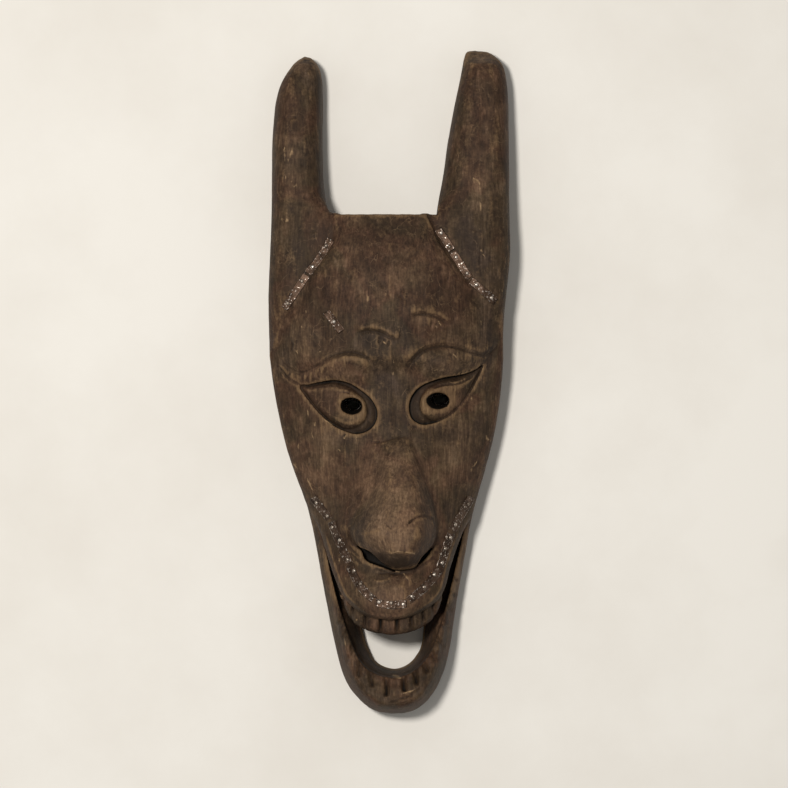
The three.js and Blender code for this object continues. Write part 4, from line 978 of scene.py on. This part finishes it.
# Each strip's two ends, how far it bows to the left of its run to follow the lip, and how much
# of its edge is rubbed bright and carries painted glints.
STRIPS = {
    "lip_strip_left_upper": ((-57, -87), (-44.5, -103), 0, 0.7),
    "lip_strip_left_middle": ((-43.3, -104.8), (-30.2, -134), -0.5, 0.85),
    "lip_strip_left_lower": ((-29.4, -137), (-12, -160.2), -2.1, 1),
    "lip_strip_front": ((-9.4, -162.6), (11.6, -163), -1.5, 1),
    "lip_strip_right_lower": ((13.8, -161), (36.2, -140), -1.2, 1),
    "lip_strip_right_middle": ((37.4, -137.3), (44.9, -113.4), 0, 1),
    "lip_strip_right_upper": ((46, -111), (60.4, -87), 0, 0.75),
    "horn_strip_left_upper": ((-44.3, 105), (-60.6, 80.6), 0.8, 0.8),
    "horn_strip_left_lower": ((-62, 78.4), (-78, 54.6), 0, 0.7),
    "horn_strip_right_upper": ((36, 112.5), (45.6, 97.6), 0, 0.55),
    "horn_strip_right_middle": ((46.8, 95.4), (58.6, 77), 0, 0.6),
    "horn_strip_right_lower": ((60.4, 74.6), (78, 59.6), 0, 0.6),
    "temple_strip": ((-46.5, 51), (-36, 37), 0, 0.6),
}

triangles = [tuple(p.vertices) for p in carving.data.polygons]
carved_surface = BVHTree.FromPolygons(coordinates(carving.data).tolist(), triangles)
DOWN = Vector((0, 0, -1))
OVERHEAD = 200  # mm; higher than anything on the mask


def wood_height(x, y):
    """Height of the carving over the back rim at a place."""
    return carved_surface.ray_cast(Vector((x, y, OVERHEAD)), DOWN)[0].z


def on_run(start, way, along_run, aside):
    """The place this far along a strip's run and this far to its left."""
    return (
        start[0] + way[0] * along_run - way[1] * aside,
        start[1] + way[1] * along_run + way[0] * aside,
    )


# Copper sheet, cut with shears and hammered on: brown oxide over a red metal, with thin bright
# rubbed edges and tiny dents. A pale colour painted along the edges and in random specks gives painted
# glints.
copper, t, place = new_material("copper_sheet_hammered_oxidised")
dents = noise(t, place, 700.0, 3.0)
stains = noise(t, place, 160.0, 5.0, Roughness=0.65)
patchy = noise(t, place, 330.0, 3.0, Roughness=0.6)
oxide = ramp(t, stains, [(0.34, "#2e231b"), (0.5, "#4b3a2e"), (0.62, "#604d40"), (0.76, "#7d675b")])
# Painted glints: pale colour along the rubbed edges, broken by noise, and in random specks.
edges = spread(t, scaled(t, patchy, 1.5, noted(t, "rim")), 1.24, 1.52, 0.0, 1.0)
sparkle = spread(t, dents, 0.6, 0.7, 0.0, 0.75)
shine = add(t, "Math", {0: edges, 1: sparkle}, operation="MAXIMUM").outputs[0]
skin = {
    "Base Color": overlaid(t, shine, oxide, linear("#e6dace")),
    "Metallic": 0.85,
    "Roughness": spread(t, shine, 0.0, 1.0, 0.55, 0.28),
    "Normal": bumped(t, dents, 0.6, 0.0004),
}
finished(t, skin)

laid = {}
for number, (name, (start, stop, bowed, rubbed_and_glinting)) in enumerate(STRIPS.items()):
    start, stop = np.array(start), np.array(stop)
    way = (stop - start) / np.linalg.norm(stop - start)
    start, stop = start - OVERCUT * way, stop + OVERCUT * way
    length = np.linalg.norm(stop - start)
    stations = np.linspace(0, 1, max(8, round(length / ROW)))
    s, c = np.meshgrid(stations, ACROSS, indexing="ij")
    bow = bowed * np.sin(math.pi * s)

    # Each row is tilted and raised to the wood under it, and evened out along the length.
    ground = np.vectorize(wood_height)(*on_run(start, way, length * s, c * STRIP_WIDTH / 2 + bow))
    tilt = ground @ ACROSS / (ACROSS @ ACROSS)
    level = np.percentile(ground - tilt[:, None] * ACROSS, 75, axis=1)
    even = np.exp(-(((stations[:, None] - stations) * length / STIFF) ** 2))
    even /= even.sum(1, keepdims=True)
    tilt, level = even @ tilt, even @ level

    # Shears leave ragged sides and clipped corners; the hammer raises a bead along each side.
    from_end = np.minimum(s, 1 - s) * length
    ragged = 1 + 0.07 * mottle(s * length / 4, np.sign(c) * 3, 0, 71 + number)
    corner = 1 - 0.12 * smooth(1 - from_end / 1.2)
    x, y = on_run(start, way, length * s, c * ragged * corner * STRIP_WIDTH / 2 + bow)
    bead = 0.22 * smooth((np.abs(c) - 0.62) / 0.2) - 0.35 * smooth((np.abs(c) - 0.86) / 0.14)
    dented = 0.16 * mottle(s * length / 2.6, c * 1.4, 0, 90 + number)
    z = level[:, None] + tilt[:, None] * c + STRIP_ABOVE + bead + dented

    face = np.stack([x, y, z], -1).reshape(-1, 3)
    back = face - (0, 0, STRIP_THICK)
    index = np.arange(s.size).reshape(s.shape)
    quad = np.stack([index[:-1, :-1], index[:-1, 1:], index[1:, 1:], index[1:, :-1]], -1)
    quad = quad.reshape(-1, 4)[:, ::-1]
    loop = np.concatenate([index[0, :-1], index[:-1, -1], index[-1, :0:-1], index[:0:-1, 0]])
    after = np.roll(loop, -1)
    skirt = np.stack([loop, after, after + s.size, loop + s.size], -1)
    faces = np.vstack([quad, quad[:, ::-1] + s.size, skirt])
    strip = mesh_object(name + "_copper", np.vstack([face, back]), faces)
    edge = np.maximum(smooth((np.abs(c) - 0.76) / 0.16), 0.5 * smooth(1 - from_end / 0.8))
    # The rim sets how much rubbed metal and painted glint each edge gets.
    attribute(strip.data, "rim", np.tile((edge * rubbed_and_glinting).ravel() * 0.6, 2))
    strip.data.materials.append(copper)
    laid[name] = (start, way, length, BVHTree.FromPolygons(face.tolist(), quad.tolist()))
    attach(strip, "root")
    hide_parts(name)

# ------------------------------------------------------------
# Tacks: round-headed upholstery tacks, 2.9 mm across, driven through the strips into the wood.
# The heads are domed, a little battered, and rubbed bright.

TACK_HEAD = 1.45  # radius
TACK_DOME = 1.15
STANDS = 0.1  # the middle of the head's foot over the strip's face
SIDES = 20
# The dome from top to underside: shares of its radius and of its height.
PROFILE = [
    (0.0, 1.0), (0.3, 0.96), (0.55, 0.84), (0.75, 0.63), (0.9, 0.36), (0.99, 0.12), (1.0, -0.05),
    (0.94, -0.25),
]
# Where each strip's tacks are: the share of its length, and mm to the left of its run.
TACKS = {
    "lip_strip_left_upper": [(0.22, 0), (0.8, 0.6)],
    "lip_strip_left_middle": [(0.12, -0.8), (0.45, 0.6), (0.9, 0)],
    "lip_strip_left_lower": [(0.16, 0.9), (0.5, -0.9), (0.86, 0.6)],
    "lip_strip_front": [(0.1, 0.6), (0.5, 0), (0.88, -0.6)],
    "lip_strip_right_lower": [(0.14, 0.8), (0.48, -0.8), (0.84, 0.5)],
    "lip_strip_right_middle": [(0.15, 0), (0.55, 0.7), (0.88, -0.6)],
    "lip_strip_right_upper": [(0.2, 0.4), (0.82, -0.4)],
    "horn_strip_left_upper": [(0.2, 0), (0.8, 0.4)],
    "horn_strip_left_lower": [(0.2, -0.4), (0.84, 0)],
    "horn_strip_right_upper": [(0.2, 0.3), (0.82, 0)],
    "horn_strip_right_middle": [(0.2, 0), (0.82, 0.5)],
    "horn_strip_right_lower": [(0.22, 0), (0.82, 0)],
    "temple_strip": [(0.5, 0)],
}

# Tinned steel, pressed and battered: grey-white metal, darker round the foot of each head.
tinned, t, place = new_material("tinned_steel_pressed_worn")
pits = noise(t, place, 1400.0, 3.0)
film = noise(t, place, 300.0, 3.0)
tin = ramp(t, film, [(0.35, "#6e6256"), (0.5, "#a89c8f"), (0.65, "#dcd3c8")])
skin = {
    "Base Color": overlaid(t, noted(t, "low"), tin, linear("#2a211a")),
    "Metallic": 0.85,
    "Roughness": spread(t, film, 0.0, 1.0, 0.5, 0.25),
    "Normal": bumped(t, pits, 0.35, 0.0003),
}
finished(t, skin)

spoke = np.arange(SIDES)
after = (spoke + 1) % SIDES
turn = 2 * math.pi * spoke / SIDES
foot_of = [1 + ring * SIDES for ring in range(len(PROFILE) - 1)]
cap = np.stack([0 * spoke, 1 + spoke, 1 + after], -1)
wall = [np.stack([a + spoke, a + SIDES + spoke, a + SIDES + after, a + after], -1) for a in foot_of[:-1]]
# Darker towards the foot and underside of each head.
foot_darkening = [0.0] + [0.55 - h * 1.6 for _, h in PROFILE[1:] for _ in spoke]
for strip_name, spots in TACKS.items():
    start, way, length, sheet_surface = laid[strip_name]
    for i, (share, aside) in enumerate(spots):
        name = strip_name.replace("strip", "tack") + "_" + str(i + 1)
        seed = sum(map(ord, name))
        points = [(0, 0, TACK_DOME)]
        for r, h in PROFILE[1:]:
            lumpy = 1 + 0.05 * mottle(np.cos(turn) * 1.3, np.sin(turn) * 1.3, r, seed)
            reach = r * TACK_HEAD * lumpy
            points += list(zip(reach * np.cos(turn), reach * np.sin(turn), h * TACK_DOME * lumpy))
        over = Vector((*on_run(start, way, length * share, aside), OVERHEAD))
        hit, out, _, _ = sheet_surface.ray_cast(over, DOWN)
        out = out if out.z > 0 else -out
        stand = Vector((0, 0, 1)).rotation_difference(out).to_matrix().to_4x4()
        placed = Matrix.Translation(hit + out * STANDS) @ stand
        tack = mesh_object(name + "_head", [placed @ Vector(p) for p in points], cap, np.vstack(wall))
        attribute(tack.data, "low", np.clip(foot_darkening, 0, 0.9))
        tack.data.materials.append(tinned)
        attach(tack, "root")
        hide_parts(name)

# ------------------------------------------------------------
# The floor that the mask lies on: pale lime plaster, almost even in tone. Soft blotches left by
# the float are all that shows.
FLOOR_REACH = 6000

plaster, t, place = new_material("lime_plaster_floated")
trowelled = noise(t, place, 5.0, 6.0, Roughness=0.6)
finished(t, {"Base Color": ramp(t, trowelled, [(0.35, "#e2dfd8"), (0.6, "#e9e7e1")]), "Roughness": 0.9})
corners = [(-FLOOR_REACH, -FLOOR_REACH), (FLOOR_REACH, -FLOOR_REACH)]
corners += [(FLOOR_REACH, FLOOR_REACH), (-FLOOR_REACH, FLOOR_REACH)]
floor = mesh_object("floor", [(x, y, 0) for x, y in corners], [(0, 1, 2, 3)])
floor.data.materials.append(plaster)

# Light: one soft lamp high over the left side of the brow, and a dim pale room.
ROOM_BRIGHT = 0.36
room = bpy.data.worlds.new("pale_room")
room.use_nodes = True
air = room.node_tree.nodes["Background"].inputs
air["Color"].default_value = linear("#efedea")
air["Strength"].default_value = ROOM_BRIGHT
bpy.context.scene.world = room

KEY_PLACE = Vector((-0.44, 0.26, 2.4))
lamp = bpy.data.lights.new("key_lamp", "AREA")
lamp.shape = "DISK"
lamp.size = 0.28
lamp.energy = 47
lamp.color = linear("#fffaf4")[:3]
key = bpy.data.objects.new("key_lamp", lamp)
key.location = KEY_PLACE
key.rotation_euler = (-KEY_PLACE).to_track_quat("-Z", "Y").to_euler()
bpy.context.scene.collection.objects.link(key)

# The camera looks straight down on the face from 3 m, framed a little below its middle.
SENSOR = 36
DISTANCE = 2970  # mm to a plane a little in front of the rim
SEEN = 591  # mm of that plane from side to side
camera_data = bpy.data.cameras.new("camera")
camera_data.sensor_width = SENSOR
camera_data.lens = SENSOR * DISTANCE / SEEN
camera = bpy.data.objects.new("camera", camera_data)
camera.location = (0.003, -0.0094, 3.0)
bpy.context.scene.collection.objects.link(camera)
bpy.context.scene.camera = camera
bpy.context.scene.view_settings.view_transform = "Standard"
